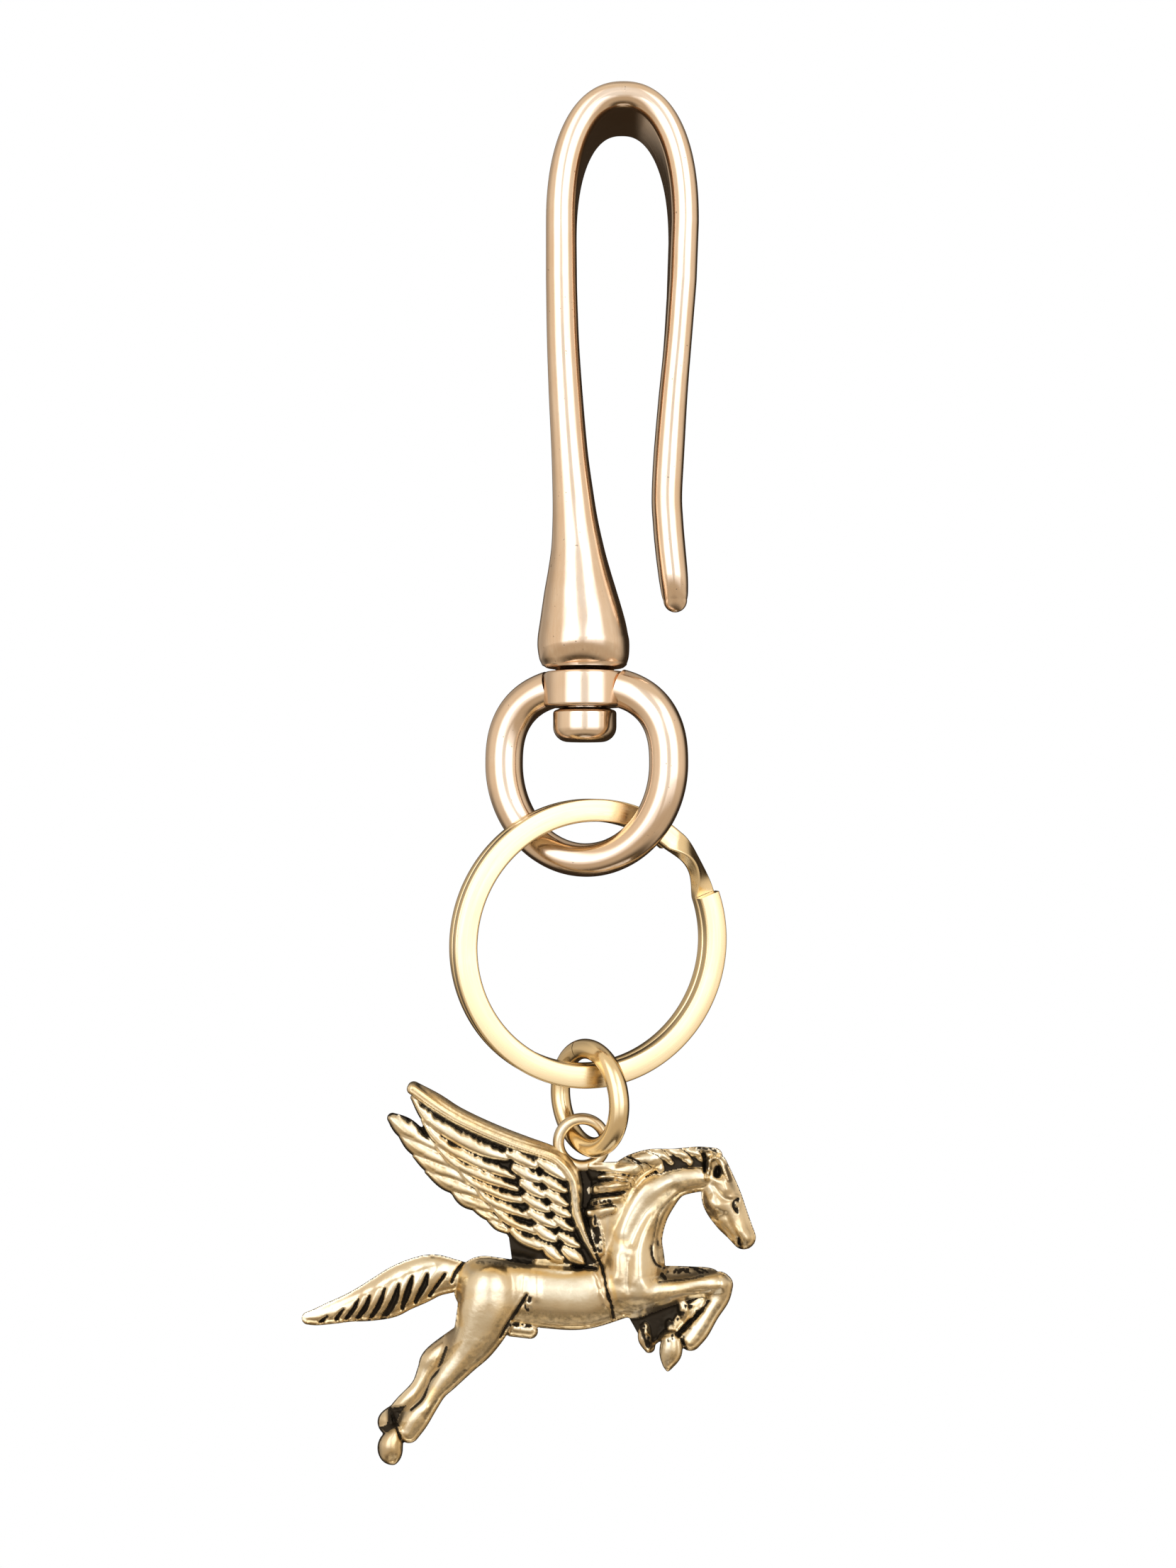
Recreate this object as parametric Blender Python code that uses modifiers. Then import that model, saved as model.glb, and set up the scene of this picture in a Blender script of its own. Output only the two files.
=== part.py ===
"""Brass keychain: a belt hook, a swivel bow, a split ring, a jump ring and a winged horse.

Metres, +Z up. The keychain hangs as it does from a belt. The origin is where the belt bears,
at the inside middle of the hook's crown. +X runs from the hook's leg to its point, and -Y
faces the front.
"""

import math

import bmesh
import bpy
from mathutils import Matrix, Vector

MM = 0.001

# Gaps
SEAT_GAP = 0.3 * MM  # between pieces that bear on each other
SWIVEL_GAP = 0.4 * MM  # seen between the boss and the collar
BORE_CLEARANCE = 0.2 * MM  # round the pin's shank, on the radius
CUT_OVERRUN = 1.0 * MM
WELD = 0.001 * MM  # points nearer than this are one
TURN_WELD = 0.01 * MM

# Hook: one casting, a flat band that runs into a round boss
HOOK_DROP = 57.6 * MM  # inside of the crown to the foot of the boss
ARCH_WIDTH = 12.86 * MM  # between the two legs' centre lines
ARCH_RISE = 13.1 * MM  # from the legs' straight part to the crown's centre line
ARCH_FULLNESS = 2.3  # exponent of the arch's curve: 2 is an ellipse
LEG_LEAN = 2.45 * MM  # how far the leg stands off the pin's axis
BAND_THICKNESS = 3.15 * MM
CROWN_THICKNESS = 2.9 * MM
BAND_DEPTH = 8.9 * MM  # front to back, its front and back edges round
BOSS_DIAMETER = 9.7 * MM
POINT_DROP = 51.7 * MM  # inside of the crown to the end of the point
POINT_SWAY = 1.75 * MM  # how far the point leans in
POINT_DEPTH = 4.0 * MM

# Up the leg: height below the crown as a share of HOOK_DROP, lean as a share of LEG_LEAN,
# swell from the band's thickness to the boss's diameter, and flatness from round to band
LEG_SHARES = [
    (1.000, 0.00, 0.74, 0.00),
    (0.994, 0.01, 0.88, 0.00),
    (0.981, 0.02, 0.96, 0.00),
    (0.962, 0.05, 1.00, 0.00),
    (0.946, 0.08, 0.99, 0.00),
    (0.918, 0.11, 0.91, 0.00),
    (0.863, 0.20, 0.70, 0.00),
    (0.820, 0.26, 0.52, 0.02),
    (0.779, 0.32, 0.37, 0.06),
    (0.734, 0.41, 0.26, 0.12),
    (0.686, 0.50, 0.185, 0.20),
    (0.608, 0.65, 0.105, 0.36),
    (0.500, 0.82, 0.06, 0.60),
    (0.406, 0.93, 0.03, 0.78),
    (0.300, 0.99, 0.01, 0.92),
]
# Down the point: height as a share of POINT_DROP, sway as a share of POINT_SWAY, thickness as
# a share of BAND_THICKNESS, and flatness from POINT_DEPTH to BAND_DEPTH
POINT_SHARES = [
    (0.340, 0.12, 0.90, 0.90),
    (0.452, 0.36, 0.88, 0.72),
    (0.560, 0.64, 0.93, 0.50),
    (0.677, 0.88, 1.00, 0.28),
    (0.763, 1.00, 1.00, 0.15),
    (0.815, 0.93, 1.00, 0.08),
    (0.867, 0.80, 1.00, 0.03),
    (0.924, 0.62, 0.97, 0.00),
    (0.960, 0.52, 0.90, 0.00),
    (0.975, 0.49, 0.80, 0.00),
]
POINT_END_SHARES = (0.35, 0.6, 0.8, 0.93, 0.99)  # how far out each ring of its round end lies
ARCH_STEPS = 24
SECTION_SIDES = 20
SIDE_MIDDLE = 0.5  # the section's faces, not its corners, point front, back and sideways
RINGS_PER_SPAN = 2

# Swivel pin: a button head under the collar, its shank fixed in the boss
PIN_DIAMETER = 4.0 * MM
PIN_SEAT_DEPTH = 7.0 * MM
PIN_HEAD_DIAMETER = 6.7 * MM
PIN_HEAD_HEIGHT = 3.4 * MM
PIN_HEAD_ROUND = 1.2 * MM
PIN_END_ROUND = 0.4 * MM
ROUND_SIDES = 32

# Swivel bow: a collar with a loop of round wire
COLLAR_DIAMETER = 8.7 * MM
COLLAR_HEIGHT = 3.7 * MM
COLLAR_EDGE = 0.35 * MM
BOW_WIDTH = 18.5 * MM  # between the wire's centre lines
BOW_WAIST_DROP = 6.0 * MM  # collar's foot to the loop's widest level
BOW_UPPER_RISE = 8.3 * MM
BOW_SHOULDER = 2.5  # exponent of the loop's upper half: 2 is an ellipse
BOW_LOWER_DROP = 10.16 * MM
BOW_SIDE_WIRE = 4.05 * MM
BOW_FOOT_WIRE = 3.55 * MM
BOW_YAW = math.radians(-20)
BOW_START_ANGLE = math.radians(20)  # the wire's ends, inside the collar, off straight up
BOW_STEPS = 44

# Split ring: one flat wire, two coils deep, stepped from the front coil to the back one
RING_DIAMETER = 30.4 * MM
RING_BAND = 2.4 * MM
COIL_THICKNESS = 1.25 * MM
COIL_GAP = 0.12 * MM
COIL_EDGE = 0.25 * MM
RING_SLACK = 2.3 * MM  # inside of the ring's top above the bow's wire
RING_SHIFT = 0.7 * MM
RING_YAW = math.radians(20)
RING_END_ANGLE = math.radians(20)  # the front coil's cut end, above the right-hand side
RING_STEP_ANGLE = math.radians(30)  # what the step takes of the circle
RING_STEPS_PER_TURN = 60

# Jump ring: one round wire, butted
JUMP_DIAMETER = 12.4 * MM
JUMP_WIRE = 2.1 * MM
JUMP_SLACK = 0.5 * MM
JUMP_SHIFT = 0.45 * MM
JUMP_YAW = math.radians(-53)
JUMP_ROLL = math.radians(4)
JUMP_SEAM_ANGLE = math.radians(112)
JUMP_SEAM_GAP = 0.1 * MM
JUMP_STEPS = 48
EYE_STEPS = 32

# Winged horse: one casting. Its places and depths are pixels of the photograph, at this span
CHARM_SPAN = 48.2 * MM  # tip of the tail to the nose
CHARM_SPAN_PIXELS = 643
PIXEL = CHARM_SPAN / CHARM_SPAN_PIXELS
VIEW_DISTANCE = 161 * MM  # the photograph's viewpoint, in front of the pin's axis
VIEW_CENTRE_PIXEL = (829.5, 1106)
EYE_PIXEL = (821, 1611)
EYE_SLACK = 1.1 * MM  # inside of the eye's top above the jump ring's wire
EYE_SHIFT = -0.75 * MM
CHARM_SET_BACK = 0.9 * MM
EYE_ROOM = 1.7 * MM  # the eye's hole is wider than the jump ring's wire by this
EYE_BAR = 1.05 * MM
EYE_BAR_DEPTH = 1.4 * MM
EYE_FOOT_PIXEL = (842, 1672)  # where the eye grows out of the withers
SKIN_PIXELS = 3.2  # grain of the casting's skin
HORSE_FACE_SHARE = 0.08  # of the skin's faces that the casting keeps
TUBE_RESOLUTION = 3

# Depths, front to back, off the middle of the casting
LEG_SET_PIXELS = 20
WING_SET_PIXELS = 18
WING_WEB_PIXELS = 18  # half the thickness of the web between the two wings
WEB_OVERLAP = 1.2  # each wing's web runs into the other's
RIB_STAND = 1.12  # rib and coverts stand this much further out than the primaries
FORELEG_WEB_PIXELS = 13
WITHERS_WEB_PIXELS = 11
LIMB_END_SHARES = (0.4, 0.75, 0.97)  # how far out each ring of a limb's round end lies
SKIN_EASE = 0.5  # of the way to its neighbours' middle that each point of the skin moves

# How deep each limb is, front to back, over its width
BARREL_FULLNESS = 0.78
CHEST_FULLNESS = 0.85
HEAD_FULLNESS = 0.82
MANE_FULLNESS = 1.1
TAIL_FULLNESS = 0.62
THIGH_FULLNESS = 0.72
LEG_FULLNESS = 1.0
HOOF_FULLNESS = 1.1
RIB_FULLNESS = 1.0
FEATHER_FULLNESS = 0.8

# Limbs: each point is a pixel across, a pixel down and a half-width in pixels
BARREL = [(684, 1815, 44), (720, 1820, 45), (770, 1826, 44), (820, 1827, 43), (868, 1815, 44)]
CHEST = [(1002, 1662, 18), (978, 1662, 20), (950, 1669, 22), (925, 1687, 30), (907, 1714, 34),
         (895, 1748, 39), (894, 1785, 45), (897, 1812, 42)]
HEAD = [(1008, 1644, 18), (1013, 1666, 23), (1018, 1690, 28), (1029, 1713, 25), (1041, 1732, 20),
        (1049, 1745, 17)]
MANE = [(1008, 1630, 11), (985, 1628, 11), (950, 1633, 13), (915, 1638, 17), (885, 1650, 22),
        (858, 1680, 26), (852, 1720, 22)]
TAIL = [(660, 1800, 18), (636, 1799, 24), (611, 1799, 30), (588, 1807, 33), (565, 1817, 33),
        (547, 1827, 32), (520, 1837, 26), (495, 1844, 20), (470, 1851, 16), (448, 1857, 12),
        (435, 1859, 9)]
NEAR_HIND = [(690, 1822, 44), (686, 1850, 41), (671, 1888, 32), (653, 1916, 23), (631, 1943, 18),
             (617, 1961, 14), (604, 1981, 14), (587, 2002, 18), (577, 2020, 15)]
NEAR_HIND_HOOF = [(562, 2020, 10), (552, 2035, 17), (551, 2047, 17), (554, 2057, 9)]
FAR_HIND = [(650, 1890, 20), (614, 1915, 18), (602, 1932, 13), (592, 1955, 12), (571, 1979, 13)]
FAR_HIND_HOOF = [(556, 1992, 11), (548, 2004, 15), (550, 2014, 12)]
NEAR_FORELEG = [(912, 1826, 26), (950, 1821, 17), (985, 1814, 14), (1014, 1811, 18),
                (1014, 1828, 15), (1000, 1853, 13), (986, 1876, 15), (972, 1892, 14)]
NEAR_FORE_HOOF = [(955, 1896, 14), (947, 1908, 15), (945, 1922, 9)]
FAR_FORELEG = [(940, 1803, 18), (975, 1799, 13), (1004, 1803, 13), (1000, 1822, 11),
               (965, 1850, 12), (935, 1872, 13), (916, 1888, 12), (916, 1900, 8)]
SHEATH = [(722, 1870, 14), (748, 1874, 13)]
FORELEG_WEB_OUTLINE = [(880, 1850), (905, 1880), (958, 1890), (1008, 1830), (950, 1825)]
WITHERS_WEB_OUTLINE = [(806, 1644), (838, 1641), (866, 1637), (892, 1645), (880, 1700),
                       (870, 1800), (835, 1805), (812, 1760), (800, 1700)]

# Wing: the rib along its leading edge, then its feathers from tip to root
WING_RIB = [(580, 1535, 8), (626, 1563, 8), (664, 1586, 8), (702, 1607, 8), (740, 1622, 8),
            (779, 1634, 8), (798, 1647, 8), (810, 1670, 8), (814, 1700, 8), (819, 1730, 8),
            (830, 1758, 7), (846, 1779, 6)]
PRIMARY_FEATHERS = [
    [(586, 1553, 6), (612, 1580, 11), (650, 1601, 12), (690, 1622, 12), (716, 1632, 8)],
    [(604, 1590, 6), (632, 1612, 11), (670, 1630, 12), (705, 1645, 12), (733, 1655, 8)],
    [(620, 1620, 6), (648, 1640, 10), (682, 1655, 11), (710, 1667, 11), (738, 1676, 8)],
    [(650, 1652, 5), (676, 1670, 9), (705, 1683, 10), (736, 1693, 7)],
    [(670, 1680, 5), (692, 1694, 9), (717, 1706, 9), (744, 1714, 7)],
    [(700, 1709, 5), (718, 1720, 9), (736, 1730, 9), (754, 1735, 7)],
    [(722, 1738, 6), (740, 1746, 9), (757, 1754, 7)],
]
FAR_FEATHERS = [
    [(559, 1579, 10), (582, 1595, 13), (625, 1618, 13), (668, 1640, 12), (699, 1649, 8)],
    [(576, 1611, 9), (598, 1626, 13), (640, 1648, 13), (680, 1666, 12), (710, 1674, 8)],
    [(594, 1639, 8), (615, 1650, 12), (655, 1670, 12), (690, 1686, 11), (718, 1694, 8)],
    [(611, 1663, 9), (634, 1673, 12), (665, 1688, 11), (695, 1702, 10), (722, 1712, 7)],
    [(645, 1690, 8), (668, 1699, 11), (702, 1716, 10), (730, 1729, 7)],
    [(681, 1710, 6), (700, 1719, 9), (722, 1731, 9), (744, 1742, 7)],
    [(702, 1728, 6), (720, 1738, 9), (744, 1752, 7)],
]
COVERT_FEATHERS = [
    [(716, 1624, 7), (735, 1634, 10), (756, 1643, 8)],
    [(727, 1646, 7), (744, 1656, 9), (760, 1663, 7)],
    [(738, 1668, 7), (752, 1677, 9), (767, 1684, 7)],
    [(741, 1688, 7), (757, 1697, 9), (773, 1704, 7)],
    [(748, 1708, 7), (764, 1717, 9), (782, 1727, 6)],
    [(757, 1730, 7), (770, 1740, 9), (784, 1747, 6)],
    [(770, 1754, 8), (781, 1766, 9), (792, 1775, 5)],
    [(758, 1634, 7), (776, 1645, 10), (796, 1660, 7)],
    [(764, 1660, 7), (780, 1670, 9), (797, 1679, 6)],
    [(771, 1680, 7), (786, 1689, 9), (800, 1697, 6)],
    [(778, 1700, 6), (792, 1708, 8), (804, 1714, 6)],
    [(783, 1718, 6), (797, 1727, 8), (809, 1734, 5)],
    [(789, 1739, 6), (804, 1748, 8), (817, 1757, 5)],
    [(798, 1762, 8), (811, 1771, 9), (823, 1779, 6)],
]
WING_OUTLINE = [(590, 1545), (700, 1600), (790, 1636), (812, 1670), (820, 1730), (846, 1790),
                (760, 1800), (714, 1765), (712, 1740), (655, 1680), (612, 1620), (594, 1580)]
WING_ROOT = (830, 1760)
FAR_WING_TURN = math.radians(8)  # the back wing lies lower, turned about the root

PARTS = "brass_keychain"
CUTTERS = "cutters"


def clear_scene():
    for item in list(bpy.data.objects):
        bpy.data.objects.remove(item, do_unlink=True)


def collection(name):
    made = bpy.data.collections.new(name)
    bpy.context.scene.collection.children.link(made)
    return made


def brass(name, colour, roughness):
    material = bpy.data.materials.new(name)
    material.use_nodes = True
    shader = material.node_tree.nodes["Principled BSDF"]
    shader.inputs["Base Color"].default_value = (*colour, 1.0)
    shader.inputs["Metallic"].default_value = 1.0
    shader.inputs["Roughness"].default_value = roughness
    return material


def add_object(name, data, where):
    made = bpy.data.objects.new(name, data)
    where.objects.link(made)
    return made


def as_guide(item):
    """Keeps a cutter or a profile out of the finished part."""
    item.hide_render = True
    item.display_type = "WIRE"
    return item


def shade_round(item, angle=math.radians(35)):
    item.data.shade_smooth()
    item.data.set_sharp_from_angle(angle=angle)


def mesh_of(item):
    """Turns a curve object into a closed mesh in world space and removes the curve."""
    bpy.context.view_layer.update()
    graph = bpy.context.evaluated_depsgraph_get()
    mesh = bpy.data.meshes.new_from_object(item.evaluated_get(graph))
    mesh.transform(item.matrix_world)
    shape = bmesh.new()
    shape.from_mesh(mesh)
    bmesh.ops.remove_doubles(shape, verts=shape.verts, dist=WELD)
    bmesh.ops.recalc_face_normals(shape, faces=shape.faces)
    shape.to_mesh(mesh)
    shape.free()
    bpy.data.objects.remove(item)
    return mesh


def boolean(item, cutter, operation):
    modifier = item.modifiers.new(operation.lower(), "BOOLEAN")
    modifier.operation = operation
    modifier.object = cutter
    return modifier


def hang(item, joint):
    """Puts a piece's origin on the joint it hangs from; the piece itself stays where it is."""
    item.data.transform(Matrix.Translation(joint).inverted())
    item.location = joint


def mix(low, high, share):
    return low + (high - low) * share


def flow(rows, steps):
    """Rows of numbers, with a smooth curve drawn through them in the given steps per span."""
    out = []
    for index in range(len(rows) - 1):
        before = rows[max(index - 1, 0)]
        first = rows[index]
        second = rows[index + 1]
        after = rows[min(index + 2, len(rows) - 1)]
        for step in range(steps):
            t = step / steps
            row = []
            for a, b, c, d in zip(before, first, second, after):
                bend = (c - a) * t + (2 * a - 5 * b + 4 * c - d) * t ** 2
                row.append(b + (bend + (3 * b - a - 3 * c + d) * t ** 3) / 2)
            out.append(tuple(row))
    out.append(tuple(rows[-1]))
    return out


def loft(name, sections, where):
    """Skins a closed body over rings of points, all of one count."""
    shape = bmesh.new()
    rings = [[shape.verts.new(point) for point in section] for section in sections]
    sides = len(rings[0])
    for lower, upper in zip(rings, rings[1:]):
        for side in range(sides):
            after = (side + 1) % sides
            shape.faces.new((lower[side], lower[after], upper[after], upper[side]))
    shape.faces.new(rings[0])
    shape.faces.new(rings[-1])
    bmesh.ops.recalc_face_normals(shape, faces=shape.faces)
    mesh = bpy.data.meshes.new(name)
    shape.to_mesh(mesh)
    shape.free()
    return add_object(name, mesh, where)


def turned(name, profile, where):
    """Turns a profile of radius and height points, written top to bottom, about the Z axis."""
    mesh = bpy.data.meshes.new(name)
    points = [(radius, 0, height) for radius, height in profile]
    mesh.from_pydata(points, [(i, i + 1) for i in range(len(points) - 1)], [])
    made = add_object(name, mesh, where)
    screw = made.modifiers.new("turn", "SCREW")
    screw.axis = "Z"
    screw.steps = ROUND_SIDES
    screw.render_steps = ROUND_SIDES
    screw.use_merge_vertices = True
    screw.merge_threshold = TURN_WELD
    return made


def rounded_edge(radius, height, edge, steps, turn):
    """Quarter round on a turned profile: turn 1 goes out and down, turn -1 down and in."""
    points = []
    for step in range(steps + 1):
        angle = math.radians(90) * step / steps
        if turn > 0:
            out = edge * math.sin(angle)
            points.append((radius - edge + out, height - edge + edge * math.cos(angle)))
        else:
            out = edge * math.cos(angle)
            points.append((radius - edge + out, height + edge - edge * math.sin(angle)))
    return points


def cylinder(name, radius, low, high, where):
    """Closed round bar along Z, as many sides as every other turned shape."""
    mesh = bpy.data.meshes.new(name)
    shape = bmesh.new()
    place = Matrix.Translation((0, 0, (low + high) / 2))
    bmesh.ops.create_cone(shape, cap_ends=True, segments=ROUND_SIDES, radius1=radius,
                          radius2=radius, depth=high - low, matrix=place)
    shape.to_mesh(mesh)
    shape.free()
    return add_object(name, mesh, where)


# Places along the keychain, from the crown's middle
PIN_ACROSS = LEG_LEAN - ARCH_WIDTH / 2
BOSS_FOOT = -HOOK_DROP
COLLAR_TOP = BOSS_FOOT - SWIVEL_GAP
COLLAR_FOOT = COLLAR_TOP - COLLAR_HEIGHT
HEAD_TOP = COLLAR_FOOT - SEAT_GAP
HEAD_FOOT = HEAD_TOP - PIN_HEAD_HEIGHT
BOW_WAIST = COLLAR_FOOT - BOW_WAIST_DROP
BOW_FOOT = BOW_WAIST - BOW_LOWER_DROP
RING_INSIDE = RING_DIAMETER / 2 - RING_BAND
RING_ACROSS = PIN_ACROSS + RING_SHIFT
RING_LEVEL = BOW_FOOT + BOW_FOOT_WIRE / 2 + RING_SLACK - RING_INSIDE
RING_MIDDLE = (RING_DIAMETER - RING_BAND) / 2
JUMP_ACROSS = PIN_ACROSS + JUMP_SHIFT
JUMP_RADIUS = (JUMP_DIAMETER - JUMP_WIRE) / 2
JUMP_LEVEL = RING_LEVEL - RING_INSIDE + JUMP_SLACK + JUMP_WIRE / 2 - JUMP_RADIUS
EYE_ACROSS = JUMP_ACROSS + EYE_SHIFT
EYE_INSIDE = (JUMP_WIRE + EYE_ROOM) / 2
EYE_MIDDLE = EYE_INSIDE + EYE_BAR / 2
EYE_LEVEL = JUMP_LEVEL - JUMP_RADIUS + JUMP_WIRE / 2 + EYE_SLACK - EYE_INSIDE


def section(centre, along, thickness, depth):
    """Ring of points round a band with round edges: thickness across the path, depth along Y."""
    across = Vector((along.z, 0, -along.x))
    points = []
    for side in range(SECTION_SIDES):
        angle = math.tau * (side + SIDE_MIDDLE) / SECTION_SIDES
        reach = math.sin(angle) * thickness / 2
        reach += math.copysign((depth - thickness) / 2, reach)
        points.append(centre + across * (math.cos(angle) * thickness / 2) + Vector((0, reach, 0)))
    return points


def hook_stations():
    """Centre, thickness and depth along the hook, from the boss to the point."""
    stations = []
    for height, lean, swell, flat in LEG_SHARES[:1] + flow(LEG_SHARES[1:], RINGS_PER_SPAN):
        thickness = mix(BAND_THICKNESS, BOSS_DIAMETER, swell)
        depth = mix(thickness, BAND_DEPTH, flat)
        centre = Vector((PIN_ACROSS - LEG_LEAN * lean, 0, -HOOK_DROP * height))
        stations.append((centre, thickness, depth))
    springing = CROWN_THICKNESS / 2 - ARCH_RISE
    for step in range(ARCH_STEPS + 1):
        angle = math.pi * step / ARCH_STEPS
        across = math.copysign(abs(math.cos(angle)) ** (2 / ARCH_FULLNESS), -math.cos(angle))
        up = math.sin(angle) ** (2 / ARCH_FULLNESS) if 0 < step < ARCH_STEPS else 0
        centre = Vector((across * ARCH_WIDTH / 2, 0, springing + up * ARCH_RISE))
        end = BAND_THICKNESS * mix(1, POINT_SHARES[0][2], step / ARCH_STEPS)
        thickness = mix(end, CROWN_THICKNESS, math.sin(angle) ** 2)
        stations.append((centre, thickness, BAND_DEPTH))
    for height, sway, girth, flat in flow(POINT_SHARES, RINGS_PER_SPAN):
        centre = Vector((ARCH_WIDTH / 2 - POINT_SWAY * sway, 0, -POINT_DROP * height))
        depth = mix(POINT_DEPTH * girth, BAND_DEPTH, flat)
        stations.append((centre, BAND_THICKNESS * girth, depth))
    last, thickness, depth = stations[-1]
    heading = (last - stations[-2][0]).normalized()
    reach = POINT_DROP + last.z
    for share in POINT_END_SHARES:
        fall = math.sqrt(1 - share ** 2)
        centre = last + heading * reach * share
        stations.append((centre, thickness * fall, depth * fall))
    return stations


def make_hook(parts, cutters):
    stations = hook_stations()
    centres = [station[0] for station in stations]
    sections = []
    for index, (centre, thickness, depth) in enumerate(stations):
        before = centres[max(index - 1, 0)]
        after = centres[min(index + 1, len(centres) - 1)]
        along = (after - before).normalized()
        if index == 0:
            along = Vector((0, 0, 1))
        sections.append(section(centre, along, thickness, depth))
    hook = loft("hook", sections, parts)
    hook.data.materials.append(brass("rose_brass", (0.66, 0.47, 0.35), 0.2))
    seat = cylinder("boss_bore", PIN_DIAMETER / 2 + BORE_CLEARANCE, BOSS_FOOT - CUT_OVERRUN,
                    BOSS_FOOT + PIN_SEAT_DEPTH + SEAT_GAP, cutters)
    seat.location.x = PIN_ACROSS
    boolean(hook, as_guide(seat), "DIFFERENCE")
    shade_round(hook)
    return hook


def make_pin(parts):
    radius = PIN_DIAMETER / 2
    top = BOSS_FOOT + PIN_SEAT_DEPTH
    profile = [(0, top)]
    profile += rounded_edge(radius, top, PIN_END_ROUND, 2, 1)
    profile += [(radius, HEAD_TOP)]
    profile += rounded_edge(PIN_HEAD_DIAMETER / 2, HEAD_TOP, PIN_END_ROUND, 2, 1)
    profile += rounded_edge(PIN_HEAD_DIAMETER / 2, HEAD_FOOT, PIN_HEAD_ROUND, 5, -1)
    profile += [(0, HEAD_FOOT)]
    pin = turned("swivel_pin", profile, parts)
    pin.data.materials.append(brass("pin_brass", (0.68, 0.50, 0.36), 0.2))
    pin.location.x = PIN_ACROSS
    return pin


def bow_path():
    """Centre line of the bow's wire, in its own plane, with the wire's radius."""
    points = []
    for step in range(BOW_STEPS + 1):
        angle = mix(BOW_START_ANGLE, math.tau - BOW_START_ANGLE, step / BOW_STEPS)
        rise = math.cos(angle)
        across = math.sin(angle)
        radius = mix(BOW_SIDE_WIRE, BOW_FOOT_WIRE, max(-rise, 0) ** 2) / 2
        if rise > 0:
            rise = rise ** (2 / BOW_SHOULDER) * BOW_UPPER_RISE
            across = math.copysign(abs(across) ** (2 / BOW_SHOULDER), across)
        else:
            rise *= BOW_LOWER_DROP
        points.append((across * BOW_WIDTH / 2, BOW_WAIST + rise, radius))
    return points


def wire_curve(name, points, radii, unit, resolution, where, cyclic=False):
    """Round wire along points; each radius counts in the unit given."""
    curve = bpy.data.curves.new(name, "CURVE")
    curve.dimensions = "3D"
    curve.bevel_depth = unit
    curve.bevel_resolution = resolution
    curve.use_fill_caps = not cyclic
    spline = curve.splines.new("POLY")
    spline.points.add(len(points) - 1)
    for knot, point, radius in zip(spline.points, points, radii):
        knot.co = (*point, 1)
        knot.radius = radius
    spline.use_cyclic_u = cyclic
    return add_object(name, curve, where)


def make_bow(parts, cutters):
    path = bow_path()
    points = [(x, 0, z) for x, z, radius in path]
    unit = BOW_SIDE_WIRE / 2
    radii = [radius / unit for x, z, radius in path]
    wire = wire_curve("bow_wire", points, radii, unit, 4, cutters)
    turn = Matrix.Rotation(BOW_YAW, 4, "Z")
    loop = add_object("bow_loop", mesh_of(wire), cutters)
    loop.data.transform(turn)
    profile = [(0, COLLAR_TOP)]
    profile += rounded_edge(COLLAR_DIAMETER / 2, COLLAR_TOP, COLLAR_EDGE, 3, 1)
    profile += rounded_edge(COLLAR_DIAMETER / 2, COLLAR_FOOT, COLLAR_EDGE, 3, -1)
    profile += [(0, COLLAR_FOOT)]
    bow = turned("swivel_bow", profile, parts)
    bow.data.materials.append(brass("bow_brass", (0.67, 0.48, 0.35), 0.2))
    boolean(bow, as_guide(loop), "UNION")
    bore = cylinder("collar_bore", PIN_DIAMETER / 2 + BORE_CLEARANCE, COLLAR_FOOT - CUT_OVERRUN,
                    COLLAR_TOP + CUT_OVERRUN, cutters)
    boolean(bow, as_guide(bore), "DIFFERENCE")
    for item in (bow, loop, bore):
        item.location.x = PIN_ACROSS
    return bow


def band_profile(where):
    """Section of the split ring's flat wire, its edges broken."""
    wide = RING_BAND / 2
    tall = COIL_THICKNESS / 2
    edge = COIL_EDGE
    corners = [(wide, tall - edge), (wide - edge, tall), (edge - wide, tall), (-wide, tall - edge),
               (-wide, edge - tall), (edge - wide, -tall), (wide - edge, -tall), (wide, edge - tall)]
    curve = bpy.data.curves.new("band_section", "CURVE")
    curve.dimensions = "2D"
    spline = curve.splines.new("POLY")
    spline.points.add(len(corners) - 1)
    for knot, corner in zip(spline.points, corners):
        knot.co = (*corner, 0, 1)
    spline.use_cyclic_u = True
    return as_guide(add_object("band_section", curve, where))


def make_split_ring(parts, cutters):
    """Coiled about its own Z, then stood up: the front coil lies on the side of -Y."""
    rise = (COIL_THICKNESS + COIL_GAP) / 2
    sweep = 2 * math.tau - RING_STEP_ANGLE
    step_start = math.tau - RING_STEP_ANGLE
    count = round(RING_STEPS_PER_TURN * sweep / math.tau)
    points = []
    for index in range(count + 1):
        turned_by = sweep * index / count
        share = min(max((turned_by - step_start) / RING_STEP_ANGLE, 0), 1)
        height = rise * math.cos(math.pi * share)
        angle = RING_END_ANGLE - turned_by
        points.append((RING_MIDDLE * math.cos(angle), RING_MIDDLE * math.sin(angle), height))
    wire = wire_curve("split_wire", points, [1] * len(points), RING_BAND, 0, cutters)
    wire.data.bevel_mode = "OBJECT"
    wire.data.bevel_object = band_profile(cutters)
    wire.data.twist_mode = "Z_UP"
    ring = add_object("split_ring", mesh_of(wire), parts)
    ring.data.transform(Matrix.Rotation(math.radians(90), 4, "X"))
    ring.data.materials.append(brass("ring_brass", (0.80, 0.62, 0.32), 0.25))
    stand = Matrix.Translation((RING_ACROSS, 0, RING_LEVEL)) @ Matrix.Rotation(RING_YAW, 4, "Z")
    ring.data.transform(stand)
    hang(ring, (PIN_ACROSS, 0, BOW_FOOT))
    return ring


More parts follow.
